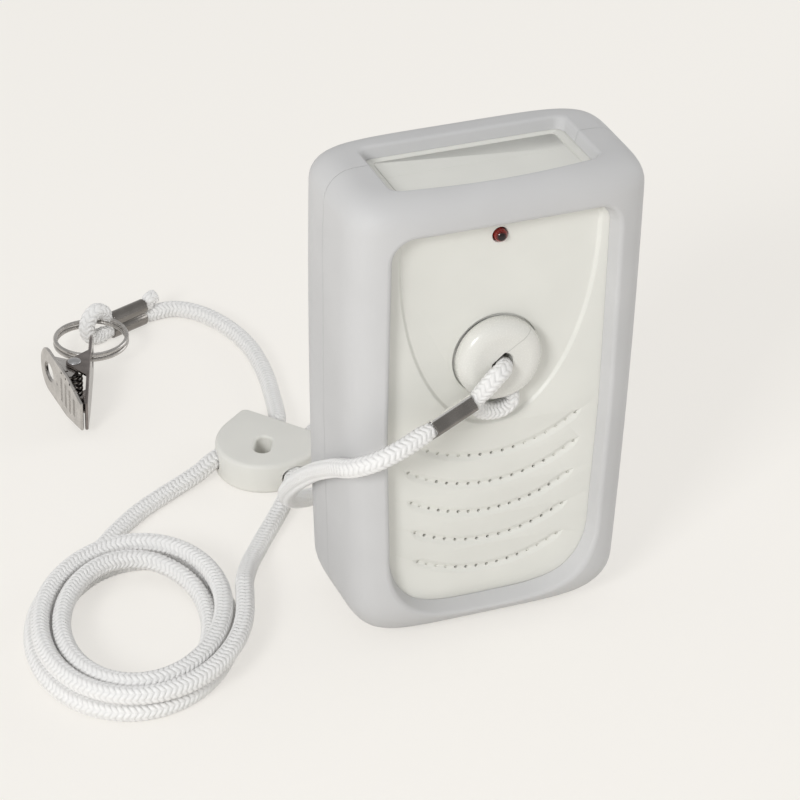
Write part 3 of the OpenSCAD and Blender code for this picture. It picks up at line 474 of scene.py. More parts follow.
IN_LEAD, OUT_LEAD = adj(ADJ_MOUTH + 0.5, -5.6, ADJ_T / 2), adj(-4.6, -11.4, ADJ_T / 2)
IN_CLIP, OUT_CLIP = adj(ADJ_MOUTH + 0.5, 5.6, ADJ_T / 2), adj(-9, 9, ADJ_T / 2)


def clip_point(x, y, z):
    """A point of the clip's own plan in the shared frame."""
    c, s = math.cos(CLIP_TURN), math.sin(CLIP_TURN)
    return CLIP_HOLE + np.array([x * c - y * s, x * s + y * c, z])


def coil_at(t):
    """A point of the coil after t turns. It winds inwards, steps up at its middle and winds outwards."""
    phase, inwards = math.radians(COIL_START + 360 * t), COIL_PITCH * min(t, COIL_TURNS - t)
    g = min(1, max(0, (t - COIL_TURNS / 2 + 0.25) / 0.5))
    side = np.array([math.cos(COIL_AZ), -math.sin(COIL_AZ), 0])
    ahead = np.array([math.sin(COIL_AZ), math.cos(COIL_AZ), 0])
    return (COIL_C + (COIL_SHORT - inwards) * math.cos(phase) * side
            + (COIL_LONG - inwards) * math.sin(phase) * ahead
            + np.array([0, 0, RC + (CORD_D + 0.5) * g * g * (3 - 2 * g)]))


def laid(p):
    """A smooth line whose middle never sinks under the cord's radius."""
    q = smooth(p, 6)
    q[:, 2] = np.maximum(q[:, 2], RC)
    return q


def cord_line():
    """The whole cord's centre line, from the sleeve at the disc to the sleeve at the clip."""
    coil = [coil_at(COIL_TURNS * i / 220) for i in range(221)]
    into, out = unit(coil_at(0.01) - coil_at(0)), unit(coil_at(COIL_TURNS) - coil_at(COIL_TURNS - 0.01))
    start, end = coil[0] - CORD_D * into, coil[-1] + CORD_D * out
    lead = laid([SLV_FRONT_END] + LEAD + [IN_LEAD])
    inner = laid([end, end + 5 * out - [0, 0, 0.2]] + FROM + [OUT_LEAD, (OUT_LEAD + IN_LEAD) / 2, IN_LEAD])
    outer = laid([IN_CLIP, (IN_CLIP + OUT_CLIP) / 2, OUT_CLIP] + TO + [start - 4 * into, start])
    low = SLC_AT + [0, 0, SLC_LOW]
    up = laid([IN_CLIP, adj(ADJ_MOUTH + 4, 5.6, ADJ_T / 2)] + CLIP + [low - 2.6 * SLC_DIR, low])
    whole = np.concatenate([lead[:-1], inner[::-1], np.array(coil[::-1]), outer[::-1], up[1:]])
    keep = np.concatenate([[True], np.linalg.norm(np.diff(whole, axis=0), axis=1) > 1e-3])
    return eased(even(whole[keep], 0.325), 6)


def braid(s, turn):
    """How far the stitches stand up: eight columns of slanted stitches, each the mirror of the next."""
    sizes = bpy.context.scene.alarm_sizes
    pitch, deep = sizes.stitch / MM, sizes.stitch_height / MM
    a = turn * STITCH_COLUMNS
    c = np.floor(a)
    x = 2 * (a - c) - 1
    ph = s / pitch + STITCH_SLANT * (1 - 2 * (c % 2)) * x
    return deep * (np.abs(np.sin(math.pi * ph)) ** 0.7 * np.sqrt(np.maximum(0, 1 - 0.8 * x * x)) - 0.72)


# Node trees

class Num:
    """A number that flows through a node tree, so that its sums read as sums."""

    def __init__(self, graph, out):
        self.graph, self.out = graph, out

    def run(self, op, *others):
        return self.graph.maths(op, self, *others)

    def __add__(self, o):
        return self.run("ADD", o)

    def __sub__(self, o):
        return self.run("SUBTRACT", o)

    def __rsub__(self, o):
        return self.graph.maths("SUBTRACT", o, self)

    def __mul__(self, o):
        return self.run("MULTIPLY", o)

    def __truediv__(self, o):
        return self.run("DIVIDE", o)

    def __pow__(self, o):
        return self.run("POWER", o)

    __radd__, __rmul__ = __add__, __mul__

    def abs(self):
        return self.run("ABSOLUTE")

    def sin(self):
        return self.run("SINE")

    def cos(self):
        return self.run("COSINE")

    def floor(self):
        return self.run("FLOOR")

    def fract(self):
        return self.run("FRACT")

    def most(self, o):
        return self.run("MAXIMUM", o)

    def ramp(self, lo, hi, a=0.0, b=1.0):
        """a below lo, b above hi, smooth between."""
        n = self.graph.node("ShaderNodeMapRange", {0: self, 1: lo, 2: hi, 3: a, 4: b},
                            interpolation_type="SMOOTHSTEP")
        return Num(self.graph, n.outputs[0])


class Graph:
    """A node tree that is written in Python."""

    def __init__(self, tree):
        self.tree = tree

    def node(self, kind, values=(), **settings):
        n = self.tree.nodes.new(kind)
        for k, v in settings.items():
            setattr(n, k, v)
        for k, v in dict(values).items():
            self.feed(n.inputs[k], v)
        return n

    def feed(self, socket, value):
        if isinstance(value, Num):
            value = value.out
        if isinstance(value, bpy.types.NodeSocket):
            self.tree.links.new(value, socket)
        elif hasattr(socket.default_value, "__len__") and len(socket.default_value) == 4 and len(value) == 3:
            socket.default_value = (*value, 1)
        else:
            socket.default_value = value

    def maths(self, op, *values):
        return Num(self, self.node("ShaderNodeMath", dict(enumerate(values)), operation=op).outputs[0])

    def joined(self, x, y, z=0.0):
        return self.node("ShaderNodeCombineXYZ", {0: x, 1: y, 2: z}).outputs[0]


class Form(Graph):
    """A Geometry Nodes tree with named inputs. Its sizes are in metres."""

    def __init__(self, name, **inputs):
        super().__init__(bpy.data.node_groups.new(name, "GeometryNodeTree"))
        self.tree.interface.new_socket("Geometry", in_out="OUTPUT", socket_type="NodeSocketGeometry")
        self.ids = {}
        kinds = {int: "Int", float: "Float"}
        for label, value in inputs.items():
            kind = kinds.get(type(value)) or ("Material" if value is None else "Object")
            s = self.tree.interface.new_socket(label.replace("_", " "), in_out="INPUT",
                                               socket_type="NodeSocket" + kind)
            if kind in ("Int", "Float"):
                s.default_value = value
            self.ids[label] = s.identifier
        self.group = self.node("NodeGroupInput")

    def input(self, label):
        return Num(self, self.group.outputs[label.replace("_", " ")])

    def end(self, geometry):
        """Makes the instances real, and gives them the material of the input Finish."""
        real = self.node("GeometryNodeRealizeInstances", {0: geometry})
        dressed = self.node("GeometryNodeSetMaterial", {0: real.outputs[0]})
        self.feed(dressed.inputs["Material"], self.input("Finish"))
        self.feed(self.node("NodeGroupOutput").inputs[0], dressed.outputs[0])
        return self

    def make(self, name, **values):
        """The tree's result as a plain mesh object."""
        o = added(name, bpy.data.meshes.new(name))
        m = o.modifiers.new("Form", "NODES")
        m.node_group = self.tree
        for label, value in values.items():
            m[self.ids[label]] = value
        return settle(o)


class Paint(Graph):
    """One procedural material. Lengths in it are millimetres in the object's own frame."""

    made = {}

    def __init__(self, name):
        self.material = bpy.data.materials.new(name)
        self.material.use_nodes = True
        super().__init__(self.material.node_tree)
        self.shader = self.tree.nodes["Principled BSDF"]
        self.point = None
        Paint.made[name] = self.material

    def where(self):
        """The point on the surface in millimetres, as a vector socket."""
        if self.point is None:
            c = self.node("ShaderNodeTexCoord")
            n = self.node("ShaderNodeVectorMath", {0: c.outputs["Object"], 3: 1 / MM}, operation="SCALE")
            self.point = n.outputs[0]
        return self.point

    def xyz(self, vector=None):
        n = self.node("ShaderNodeSeparateXYZ", {0: vector or self.where()})
        return [Num(self, n.outputs[i]) for i in range(3)]

    def uv(self):
        return self.xyz(self.node("ShaderNodeUVMap").outputs[0])[:2]

    def stretched(self, *scale):
        return self.node("ShaderNodeVectorMath", {0: self.where(), 1: scale}, operation="MULTIPLY").outputs[0]

    def along(self, direction, start):
        """How far a point lies along a direction from a start."""
        n = self.node("ShaderNodeVectorMath", {0: self.where(), 1: tuple(direction)}, operation="DOT_PRODUCT")
        return Num(self, n.outputs["Value"]) - float(start @ direction)

    def noise(self, size, detail=3, rough=0.5, at=None):
        """Noise from 0 to 1 whose grain is about size millimetres."""
        n = self.node("ShaderNodeTexNoise", {"Vector": at or self.where(), "Scale": 1 / size,
                                             "Detail": detail, "Roughness": rough})
        return Num(self, n.outputs["Fac"])

    def mix(self, fac, a, b):
        return self.node("ShaderNodeMix", {0: fac, 6: a, 7: b}, data_type="RGBA").outputs[2]

    def finish(self, color, rough=0.5, metal=0.0, height=None, deep=0.1, **plain):
        """deep is how many millimetres high a height of 1 stands."""
        self.feed(self.shader.inputs["Base Color"], color)
        self.feed(self.shader.inputs["Roughness"], rough)
        self.feed(self.shader.inputs["Metallic"], metal)
        if height is not None:
            bump = self.node("ShaderNodeBump", {"Height": height, "Distance": deep * MM})
            self.feed(self.shader.inputs["Normal"], bump.outputs["Normal"])
        for k, v in plain.items():
            self.feed(self.shader.inputs[k.replace("_", " ")], v)
        return self.material


def tint(color, k):
    return tuple(min(1.0, c * k) for c in color)


def wear(o, name):
    """Gives an object one material in all its slots."""
    o.data.materials.clear()
    o.data.materials.append(Paint.made[name])
    return o


def ready(o, body, material, slot, *nodes):
    """Dresses a finished piece, lets it ride on its body and hides the CAD nodes that it replaces."""
    wear(o, material)
    if body:
        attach(o, body)
    if nodes:
        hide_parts(*nodes)
    return o


# Finishes

def rubber(p, colour):
    """Soft rubber: a fine grain, clouds, and the line where the mould closed."""
    x, y, z = p.xyz()
    cloud, grain, wave = p.noise(26, 2), p.noise(0.22, 4, 0.65), p.noise(14, 1)
    line = (y - 1.5 - (wave - 0.5) * 1.2).abs().ramp(0.05, 0.28, 1, 0)
    shaded = p.mix(cloud.ramp(0.3, 0.7), tint(colour, 0.97), tint(colour, 1.03))
    p.finish(p.mix(line * 0.25, shaded, tint(colour, 0.85)), grain.ramp(0.2, 0.8, 0.5, 0.66), 0.0,
             grain * 0.2 + cloud * 0.3 - line * 0.9, 0.12, Specular_IOR_Level=0.35)


def moulded(p, colour, rough=0.36, grain=0.18, deep=0.012):
    """Hard moulded plastic with a fine spark-eroded grain."""
    fine, cloud = p.noise(grain, 3, 0.6), p.noise(18, 2)
    p.finish(p.mix(cloud.ramp(0.3, 0.7), tint(colour, 0.98), tint(colour, 1.02)),
             fine.ramp(0.2, 0.8, rough - 0.05, rough + 0.05), 0.0, fine, deep)


def slit_plastic(p, colour):
    """The disc's glossy plastic, with the thin slit from its hole to its rim."""
    x, y, z = p.xyz()
    fine, cloud = p.noise(0.3, 3, 0.6), p.noise(18, 2)
    run, rise = math.cos(SLIT_TURN), math.sin(SLIT_TURN)
    ahead = x * run + (z - DISC_Z) * rise
    aside = (z - DISC_Z) * run - x * rise
    line = (aside - SLIT_ASIDE).abs().ramp(0.05, 0.11, 1, 0) * ahead.ramp(1.7, 1.8)
    shaded = p.mix(cloud.ramp(0.3, 0.7), tint(colour, 0.98), tint(colour, 1.02))
    p.finish(p.mix(line * 0.5, shaded, tint(colour, 0.6)), fine.ramp(0.2, 0.8, 0.22, 0.3), 0.0,
             fine * 0.02 - line * 0.4, 0.15, Coat_Weight=0.25)


def nylon(p, colour):
    """Braided cord: the same stitches as in the mesh, with their threads, and painted shade between the
    stitches.
    """
    sizes = bpy.context.scene.alarm_sizes
    s, turn = p.uv()
    a = turn * STITCH_COLUMNS
    c = a.floor()
    x = (a - c) * 2.0 - 1.0
    side = 1.0 - (c * 0.5).fract() * 4.0
    ph = s / (sizes.stitch / MM) + x * side * STITCH_SLANT
    body = (ph * math.pi).sin().abs() ** 0.7 * (1.0 - x * x * 0.8).most(0.0) ** 0.5
    threads = ((ph * 7.0 + x * side * 2.5) * (2 * math.pi)).sin()
    fuzz = p.noise(0.3, 3, 0.7)
    # Painted shade: the cord is darker between the stitches, where they stand low
    color = p.mix(body.ramp(0.05, 0.6), tint(colour, 0.9), colour)
    color = p.mix(fuzz.ramp(0.45, 0.8) * 0.5, color, tint(colour, 1.1))
    p.finish(color, 0.5, 0.0, body + threads * 0.06 + fuzz * 0.16, 0.2)


def metal(p, colour, rough=0.28, grain=0.5, stretch=(0.35, 1, 2.5), deep=0.006, stain=0.12):
    """Plated or rolled metal with fine scratches and faint stains."""
    scratch, cloud = p.noise(grain, 4, 0.7, p.stretched(*stretch)), p.noise(3.0, 3)
    p.finish(p.mix(cloud.ramp(0.3, 0.75), tint(colour, 1 - stain), tint(colour, 1 + stain)),
             scratch.ramp(0.25, 0.8, rough - 0.08, rough + 0.08), 1.0, scratch, deep)


def sleeve_metal(p, dark, bright):
    """The sleeve at the disc: dark steel, with a painted highlight along its upper edge."""
    # edge marks the sleeve's upper edge, which is painted near white as a highlight
    edge = p.along(np.cross(SLV_UP, SLV_DIR), SLV_AT).ramp(-1.35, -1.1, 1, 0)
    scratch, cloud = p.noise(0.6, 4, 0.7, p.stretched(0.3, 1.6, 1.6)), p.noise(4.0, 2)
    shaded = p.mix(cloud.ramp(0.3, 0.75), tint(dark, 0.9), tint(dark, 1.12))
    p.finish(p.mix(edge, shaded, bright), scratch.ramp(0.25, 0.8, 0.2, 0.32), 1.0, scratch, 0.005)


def dull(p, dark, light, rough, grain=0.4, deep=0.03, **plain):
    """A plain inner surface: black plastic, foam, paper, paint or wire."""
    fine = p.noise(grain, 4, 0.65)
    p.finish(p.mix(fine.ramp(0.3, 0.7), dark, light), fine.ramp(0.2, 0.8, rough - 0.06, rough + 0.06), 0.0,
             fine, deep, **plain)


def red_lens(p, colour):
    """The lamp's red lens: painted darker in its middle, with a painted red glow at its rim."""
    x, y, z = p.xyz()
    fine = p.noise(0.8, 1)
    rim = ((x + 0.2) ** 2.0 + (z - LAMP_Z - 0.1) ** 2.0) ** 0.5
    # rim paints the lens darker in its middle and bright red towards its edge: a painted glow
    p.finish(p.mix(rim.ramp(0.7, 1.5), tint(colour, 0.08), tint(colour, 3.0)), 0.05, 0.0, fine, 0.003)


def green_board(p):
    x, y, z = p.xyz()
    lanes = ((x * 0.8).sin() * (z * 1.1).sin() + p.noise(5, 2) * 1.4 - 0.7).abs().ramp(0.05, 0.12, 1, 0)
    weave = (x * 9.0).sin() * (z * 9.0).sin()
    p.finish(p.mix(lanes, (0.02, 0.10, 0.045), (0.05, 0.20, 0.09)), 0.35, 0.0,
             lanes * 0.5 + weave * 0.1, 0.03)


def battery_wrap(p):
    """A plain two-colour wrapper, with nothing printed on it."""
    x, y, z = p.xyz()
    fine = p.noise(0.6, 3, 0.6)
    p.finish(p.mix(z.ramp(49.0, 49.3), p.mix(fine, (0.045, 0.05, 0.065), (0.06, 0.065, 0.085)),
                   p.mix(fine, (0.50, 0.32, 0.08), (0.58, 0.38, 0.11))), 0.32, 0.0, fine, 0.01)


def mixed_parts(p):
    x, y, z = p.xyz()
    fine = p.noise(0.6, 3, 0.6)
    p.finish(p.mix((x * 2.2).sin().ramp(0.2, 0.35), (0.03, 0.05, 0.16), (0.42, 0.36, 0.26)), 0.35, 0.0,
             fine, 0.015)


def make_finishes():
    c = bpy.context.scene.alarm_colours
    rubber(Paint("boot_rubber"), c.boot)
    moulded(Paint("case_plastic"), c.case)
    slit_plastic(Paint("disc_plastic"), c.disc)
    moulded(Paint("adjuster_plastic"), c.disc, 0.5, 0.25, 0.02)
    nylon(Paint("cord_nylon"), c.cord)
    metal(Paint("bright_steel"), c.steel)
    metal(Paint("dark_steel"), c.dark_steel, 0.2, 0.6, (0.3, 1.6, 1.6), 0.002, 0.08)
    # The clip's back plate: the front plate's steel painted darker, as a painted dark reflection
    metal(Paint("clip_steel"), (0.24, 0.215, 0.205), 0.22, 0.6, (1, 1, 1), 0.004, 0.15)
    # The sleeve's second colour is the painted highlight on its upper edge
    sleeve_metal(Paint("sleeve_steel"), c.dark_steel, (0.95, 0.94, 0.92))
    metal(Paint("screw_steel"), (0.50, 0.50, 0.51), 0.36, 0.4, (1, 1, 1), 0.01)
    metal(Paint("keeper_steel"), (0.40, 0.40, 0.41), 0.42, 0.8, (1, 0.2, 1), 0.01)
    metal(Paint("magnet_metal"), (0.61, 0.61, 0.63), 0.17, 0.5, (1, 1, 1))
    metal(Paint("switch_metal"), (0.48, 0.48, 0.50), 0.33, 0.5, (1, 1, 1), 0.01)
    metal(Paint("brass_parts"), (0.62, 0.56, 0.45), 0.26, 0.6, (1, 1, 1), 0.01)
    red_lens(Paint("lamp_red"), c.lamp)
    green_board(Paint("board_green"))
    battery_wrap(Paint("battery_skin"))
    mixed_parts(Paint("parts_mixed"))
    dull(Paint("black_plastic"), (0.018, 0.018, 0.02), (0.035, 0.035, 0.038), 0.5)
    dull(Paint("lead_wire"), (0.30, 0.02, 0.015), (0.42, 0.04, 0.03), 0.4)
    dull(Paint("gasket_foam"), (0.02, 0.02, 0.022), (0.05, 0.05, 0.055), 0.9)
    dull(Paint("basket_steel"), (0.10, 0.10, 0.11), (0.17, 0.17, 0.18), 0.45)
    dull(Paint("paper_cone"), (0.02, 0.02, 0.022), (0.06, 0.06, 0.065), 0.9)
    dull(Paint("reed_glass"), (0.30, 0.42, 0.36), (0.42, 0.55, 0.47), 0.12, 1.2, 0.01, Coat_Weight=0.5)


# Camera, light and floor

def make_camera():
    """The camera that was solved from the boot's edges in the photograph."""
    yaw, pitch, roll = math.radians(22.728), math.radians(31.285), math.radians(1.551)
    fwd = np.array([math.sin(yaw) * math.cos(pitch), math.cos(yaw) * math.cos(pitch), -math.sin(pitch)])
    right = np.array([math.cos(yaw), -math.sin(yaw), 0])
    up = np.cross(right, fwd)
    tilted_right = math.cos(roll) * right + math.sin(roll) * up
    tilted_up = -math.sin(roll) * right + math.cos(roll) * up
    data = bpy.data.cameras.new("Camera")
    data.lens, data.sensor_width, data.sensor_fit = 160.04, 36.0, "HORIZONTAL"
    data.clip_start, data.clip_end = 0.02, 20
    cam = added("Camera", data)
    m = Matrix.Identity(4)
    for i in range(3):
        m[i][0], m[i][1], m[i][2] = tilted_right[i], tilted_up[i], -fwd[i]
    m.translation = Vector((-0.28083, -0.63039, 0.47015))
    cam.matrix_world = m
    bpy.context.scene.camera = cam


def area(name, at, target, size, power):
    data = bpy.data.lights.new(name, "AREA")
    data.shape, data.size, data.size_y, data.energy = "RECTANGLE", size[0], size[1], power
    o = added(name, data)
    o.rotation_euler = (Vector(target) - Vector(at)).to_track_quat("-Z", "Y").to_euler()
    o.location = at


def make_world(strength):
    """A sky that is darker overhead, where the photograph's studio has no lamp."""
    world = bpy.data.worlds.new("Studio")
    world.use_nodes = True
    bpy.context.scene.world = world
    g = Graph(world.node_tree)
    z = g.node("ShaderNodeSeparateXYZ", {0: g.node("ShaderNodeTexCoord").outputs["Generated"]}).outputs[2]
    background = world.node_tree.nodes["Background"]
    background.inputs[0].default_value = (1, 0.995, 0.985, 1)
    g.feed(background.inputs[1], Num(g, z).ramp(-0.1, 0.9, 1.15 * strength, 0.8 * strength))


def make_floor(colour):
    """Pale paper that takes a shadow, and that shows as pale as it is to the camera."""
    corners = [(-4000, -4000, 0), (4000, -4000, 0), (4000, 6000, 0), (-4000, 6000, 0)]
    floor = put("Floor", corners, [(0, 1, 2, 3)])
    p = Paint("floor_paper")
    p.finish(colour, 0.9, 0.0, p.noise(3, 2), 0.01, Specular_IOR_Level=0.1)
    rays = p.node("ShaderNodeLightPath")
    seen = p.maths("MAXIMUM", rays.outputs["Is Camera Ray"], rays.outputs["Is Glossy Ray"])
    seen = seen.most(rays.outputs["Is Transmission Ray"])
    glow = p.node("ShaderNodeEmission", {0: colour, 1: 1.08})
    both = p.node("ShaderNodeMixShader", {0: seen * 0.6, 1: p.shader.outputs[0], 2: glow.outputs[0]})
    p.tree.links.new(both.outputs[0], p.tree.nodes["Material Output"].inputs[0])
    wear(floor, "floor_paper")


def make_stage():
    scene = bpy.context.scene
    scene.view_settings.view_transform = "Standard"
    light = scene.alarm_light
    make_camera()
    make_world(light.sky)
    area("Key", (-0.95, -0.8, 0.75), (0, 0, 0.06), (0.36, 0.36), light.key)
    area("Rim", (0.9, 0.1, 0.35), (0, 0, 0.06), (0.5, 0.5), light.rim)
    area("Top", (-0.1, 0.35, 1.3), (-0.02, 0, 0.03), (0.9, 0.6), light.top)
    make_floor(tuple(light.floor))


# Boot

def window_cutter(r):
    loops = [[(x, -FACE + 1, z) for x, z in window_line(1.2)]]
    loops += [[(x, -boot_y(x, z) + deep, z) for x, z in window_line(g)] for g, deep in lip(r)]
    loops.append([(x, -BOOT_D / 2 - 3, z) for x, y, z in loops[-1]])
    return skin("Window", loops)


def top_cutter(r):
    loops = [[(x, y, CASE_Z1 - 1) for x, y in top_line(0.6)]]
    loops += [[(x, y, boot_top(y) - deep) for x, y in top_line(g)] for g, deep in lip(r)]
    loops.append([(x, y, BOOT_H + 3) for x, y, z in loops[-1]])
    return skin("Hatch", loops)


def rear_cutter(r):
    loops = [[(x, BACK - 2.2, z) for x, z in rear_line(0)]]
    loops += [[(x, boot_y(x, z) - deep, z) for x, z in rear_line(g)] for g, deep in lip(r)]
    loops.append([(x, BOOT_D / 2 + 3, z) for x, y, z in loops[-1]])
    return skin("Back", loops)


def make_boot():
    sizes = bpy.context.scene.alarm_sizes
    levels = quarter(FOOT, 13)
    levels += [(z, 0) for z in np.linspace(FOOT, BOOT_H - TOP_ROUND, 32)[1:-1]]
    levels += [(BOOT_H - down, off) for down, off in quarter(TOP_ROUND, 11)[::-1]]
    o = skin("boot_skin", [boot_ring(z, g) for z, g in levels])
    combine(o, [case_form("Hollow", -0.1), window_cutter(sizes.window_lip / MM),
                top_cutter(sizes.top_lip / MM), rear_cutter(sizes.top_lip / MM)])
    ready(tidied(o, 38), "alarm", "boot_rubber", "boot_rubber", "boot")


# Front half of the case

def sound_holes():
    """One curved row of drills, which the panel is cut with. Beyond the speaker they only dimple it."""
    f = Form("sound_holes", Count=15, Half_Angle=0.5, Row_Radius=0.034, Row_Height=0.015, Depth=-0.014,
             Hole=0.0012, Length=0.006, Middle=0.0305, Open=0.0166, Blind=-0.0025, Finish=None)
    points = f.node("GeometryNodeMeshLine", {"Count": f.input("Count")})
    place = Num(f, f.node("GeometryNodeInputIndex").outputs[0]) / (f.input("Count") - 1.0)
    turn = (place * 2.0 - 1.0) * f.input("Half_Angle")
    up = f.input("Row_Height") + f.input("Row_Radius") * (1.0 - turn.cos())
    across = f.input("Row_Radius") * turn.sin()
    from_middle = (across ** 2.0 + (up - f.input("Middle")) ** 2.0) ** 0.5
    outside = f.maths("GREATER_THAN", from_middle, f.input("Open"))
    row = f.node("GeometryNodeSetPosition", {0: points.outputs[0], "Position": f.joined(
        across, f.input("Depth") + outside * f.input("Blind"), up)})
    drill = f.node("GeometryNodeMeshCylinder", {"Vertices": 20, "Radius": f.input("Hole") * 0.5,
                                                "Depth": f.input("Length")})
    each = f.node("GeometryNodeInstanceOnPoints", {"Points": row.outputs[0], "Instance": drill.outputs[0],
                                                   "Rotation": (math.pi / 2, 0, 0)})
    return f.end(each.outputs[0])


def groove(row, half, deep):
    """A soft channel along one row of sound holes, which fades at its ends."""
    ends, wide = math.asin(half / GRILLE_R) + math.radians(2.6), GROOVE_HALF
    across = np.linspace(-wide, wide, 11)
    loops = []
    for t in np.linspace(-ends, ends, 73):
        fade = max(0.03, min(1.0, (ends - abs(t)) / math.radians(4))) ** 0.7
        section = [(u * fade, deep * fade * (0.5 + 0.5 * math.cos(math.pi * u / wide))) for u in across]
        section += [(wide * fade, -1.5), (-wide * fade, -1.5)]
        loops.append([((GRILLE_R + u) * math.sin(t), -FACE - 0.002 + d,
                       row + GRILLE_R - (GRILLE_R + u) * math.cos(t)) for u, d in section])
    return skin("Groove", loops)


def shield_cutter(wall):
    """The recess's edge is a soft step."""
    loops = [[(x, -FACE - 3, z) for x, z in shield_line(-wall / 2)]]
    for u in np.linspace(0, 1, 9):
        deep = SHIELD_DEEP * u * u * (3 - 2 * u)
        loops.append([(x, -FACE - 0.003 + deep, z) for x, z in shield_line(wall * (u - 0.5))])
    return skin("Shield", loops)


def border_cutter():
    """The fine line that frames the case's top, on both halves."""
    low, high, wide = CASE_Z1 - 0.15, CASE_Z1 + 1, 0.25
    loops = [[(x, y, z) for x, y in rounded(21.9 - g, -10.2 + g, 7.6 - g, 1.6 - g, 6)]
             for g, z in ((0, low), (0, high), (wide, high), (wide, low))]
    return skin("Border", loops, closed=True)


def pipe(name, z, y0, y1, outer, inner):
    """A round wall on the panel's inner face."""
    wall = [(outer / 2, y0), (outer / 2, y1), (inner / 2, y1), (inner / 2, y0)]
    return turned(name, wall, (0, 0, z), (0, 1, 0), closed=True)


def make_front():
    sizes = bpy.context.scene.alarm_sizes
    o = case_form("case_front", 0)
    combine(o, [case_form("Inside", CASE_WALL), block("Half", -60, 60, -0.04, 60, -5, 120)])
    bosses = [(x, z) for x in (-BOSS_X, BOSS_X) for z in (BOSS_LOW, BOSS_HIGH)]
    posts = (-REED_X, REED_X)
    walls = [rod("Boss", (x, WALL_IN - 0.4, z), (x, -0.05, z), 3.2) for x, z in bosses]
    walls += [pipe("Seat", SPEAKER_Z, WALL_IN - 0.4, WALL_IN + 3.4, SPEAKER_D + 3.4, SPEAKER_D + 0.6),
              rod("Back", (0, SOCKET_Y + 0.2, DISC_Z), (0, SOCKET_Y + 1, DISC_Z), 11.5, 64),
              pipe("Keeper", DISC_Z, SOCKET_Y + 0.6, SOCKET_Y + 2.3, 23, 20.4)]
    walls += [block("Post", x - 0.8, x + 0.8, SOCKET_Y - 0.2, -7.6, DISC_Z - 2, DISC_Z + 2) for x in posts]
    combine(o, walls, "UNION")
    cuts = [rod("Pilot", (x, WALL_IN + 1.6, z), (x, 1, z), 1.5, 32) for x, z in bosses]
    cuts += [rod("Reed", (x - 1.5, REED_Y, DISC_Z), (x + 1.5, REED_Y, DISC_Z), 0.45, 16) for x in posts]
    cuts += [block("Slot", x - 1.5, x + 1.5, REED_Y, -7, DISC_Z - 0.45, DISC_Z + 0.45) for x in posts]
    socket = [(10.75, -17), (10.75, -13.91), (10.55, -13.88), (10.4, -13.8), (10.3, -13.67), (10.26, -13.5),
              (10.26, SOCKET_Y)]
    well = [(2.3, -17), (2.3, -13.92), (1.95, -13.75), (1.75, -13.4), (1.7, -9)]
    cuts += [shield_cutter(sizes.shield_wall / MM), turned("Socket", socket, (0, 0, DISC_Z), (0, 1, 0), 128),
             turned("Lamp", well, (0, 0, LAMP_Z), (0, 1, 0))]
    drills = sound_holes()
    for k, (count, half) in enumerate(GRILLE_ROWS):
        row = GRILLE_Z + k * GRILLE_STEP
        cuts.append(groove(row, half, sizes.groove / MM))
        cuts.append(mend(drills.make("Drills", Count=count, Half_Angle=math.asin(half / GRILLE_R),
                                     Row_Radius=GRILLE_R * MM, Row_Height=row * MM, Hole=HOLE_D * MM,
                                     Middle=SPEAKER_Z * MM, Finish=Paint.made["case_plastic"])))
    cuts.append(border_cutter())
    combine(o, cuts)
    ready(tidied(o, 30), "alarm", "case_plastic", "case_plastic", "front_shell")


# Back half of the case, its door, its slider and its screws

def make_back():
    o = copied("rear_shell", "case_back")
    combine(o, [border_cutter()])
    shade(o, 30)
    ready(o, "alarm", "case_plastic", "case_plastic", "rear_shell")
    ready(copied("battery_door", "door_cover", 0.2), "door", "case_plastic", "case_plastic", "battery_door")
    ready(copied("volume_slider", "slider_knob", 0.12), "slider", "black_plastic", "black_plastic",
          "volume_slider")


def screw_form():
    """One case screw: a countersunk head with a cross in it, and a threaded shank."""
    y0, y1, pitch = WALL_IN + 3, BACK - 4, 0.9
    profile = [(0.02, y0), (0.9, y0 + 0.3)]
    turns = int((y1 - y0 - 2) / pitch)
    for k in range(turns):
        y = y0 + 0.7 + pitch * k
        profile += [(1.2, y), (1.45, y + 0.45)]
    profile += [(1.2, y0 + 0.7 + pitch * turns), (1.2, y1 - 0.3), (1.3, y1), (2.7, y1 + 0.05),
                (2.8, y1 + 0.3), (2.8, y1 + 1.0), (2.55, y1 + 1.5), (1.9, y1 + 1.72), (0.02, y1 + 1.8)]
    o = turned("Screw", profile, (0, 0, 0), (0, 1, 0), 32)
    cross = [block("Cross", -a, a, y1 + 0.8, y1 + 3, -b, b) for a, b in ((1.5, 0.32), (0.32, 1.5))]
    return tidied(combine(o, cross), 35)


def case_screws():
    """The four screws, at the corners of a rectangle."""
    f = Form("case_screws", Screw="object", Width=0.05, Height=0.087, Middle=0.0565, Finish=None)
    corners = f.node("GeometryNodeMeshGrid", {"Size X": f.input("Width"), "Size Y": f.input("Height"),
                                              "Vertices X": 2, "Vertices Y": 2})
    upright = f.node("GeometryNodeTransform", {0: corners.outputs[0], "Rotation": (math.pi / 2, 0, 0),
                                               "Translation": f.joined(0.0, 0.0, f.input("Middle"))})
    screw = f.node("GeometryNodeObjectInfo", {"Object": f.group.outputs["Screw"]})
    each = f.node("GeometryNodeInstanceOnPoints", {"Points": upright.outputs[0],
                                                   "Instance": screw.outputs["Geometry"]})
    return f.end(each.outputs[0])


def make_screws():
    screw = screw_form()
    o = case_screws().make("screw_set", Screw=screw, Width=2 * BOSS_X * MM,
                           Height=(BOSS_HIGH - BOSS_LOW) * MM, Middle=(BOSS_HIGH + BOSS_LOW) / 2 * MM,
                           Finish=Paint.made["screw_steel"])
    bpy.data.objects.remove(screw)
    ready(tidied(o, 35), "alarm", "screw_steel", "screw_steel", "case_screws")


# Lamp

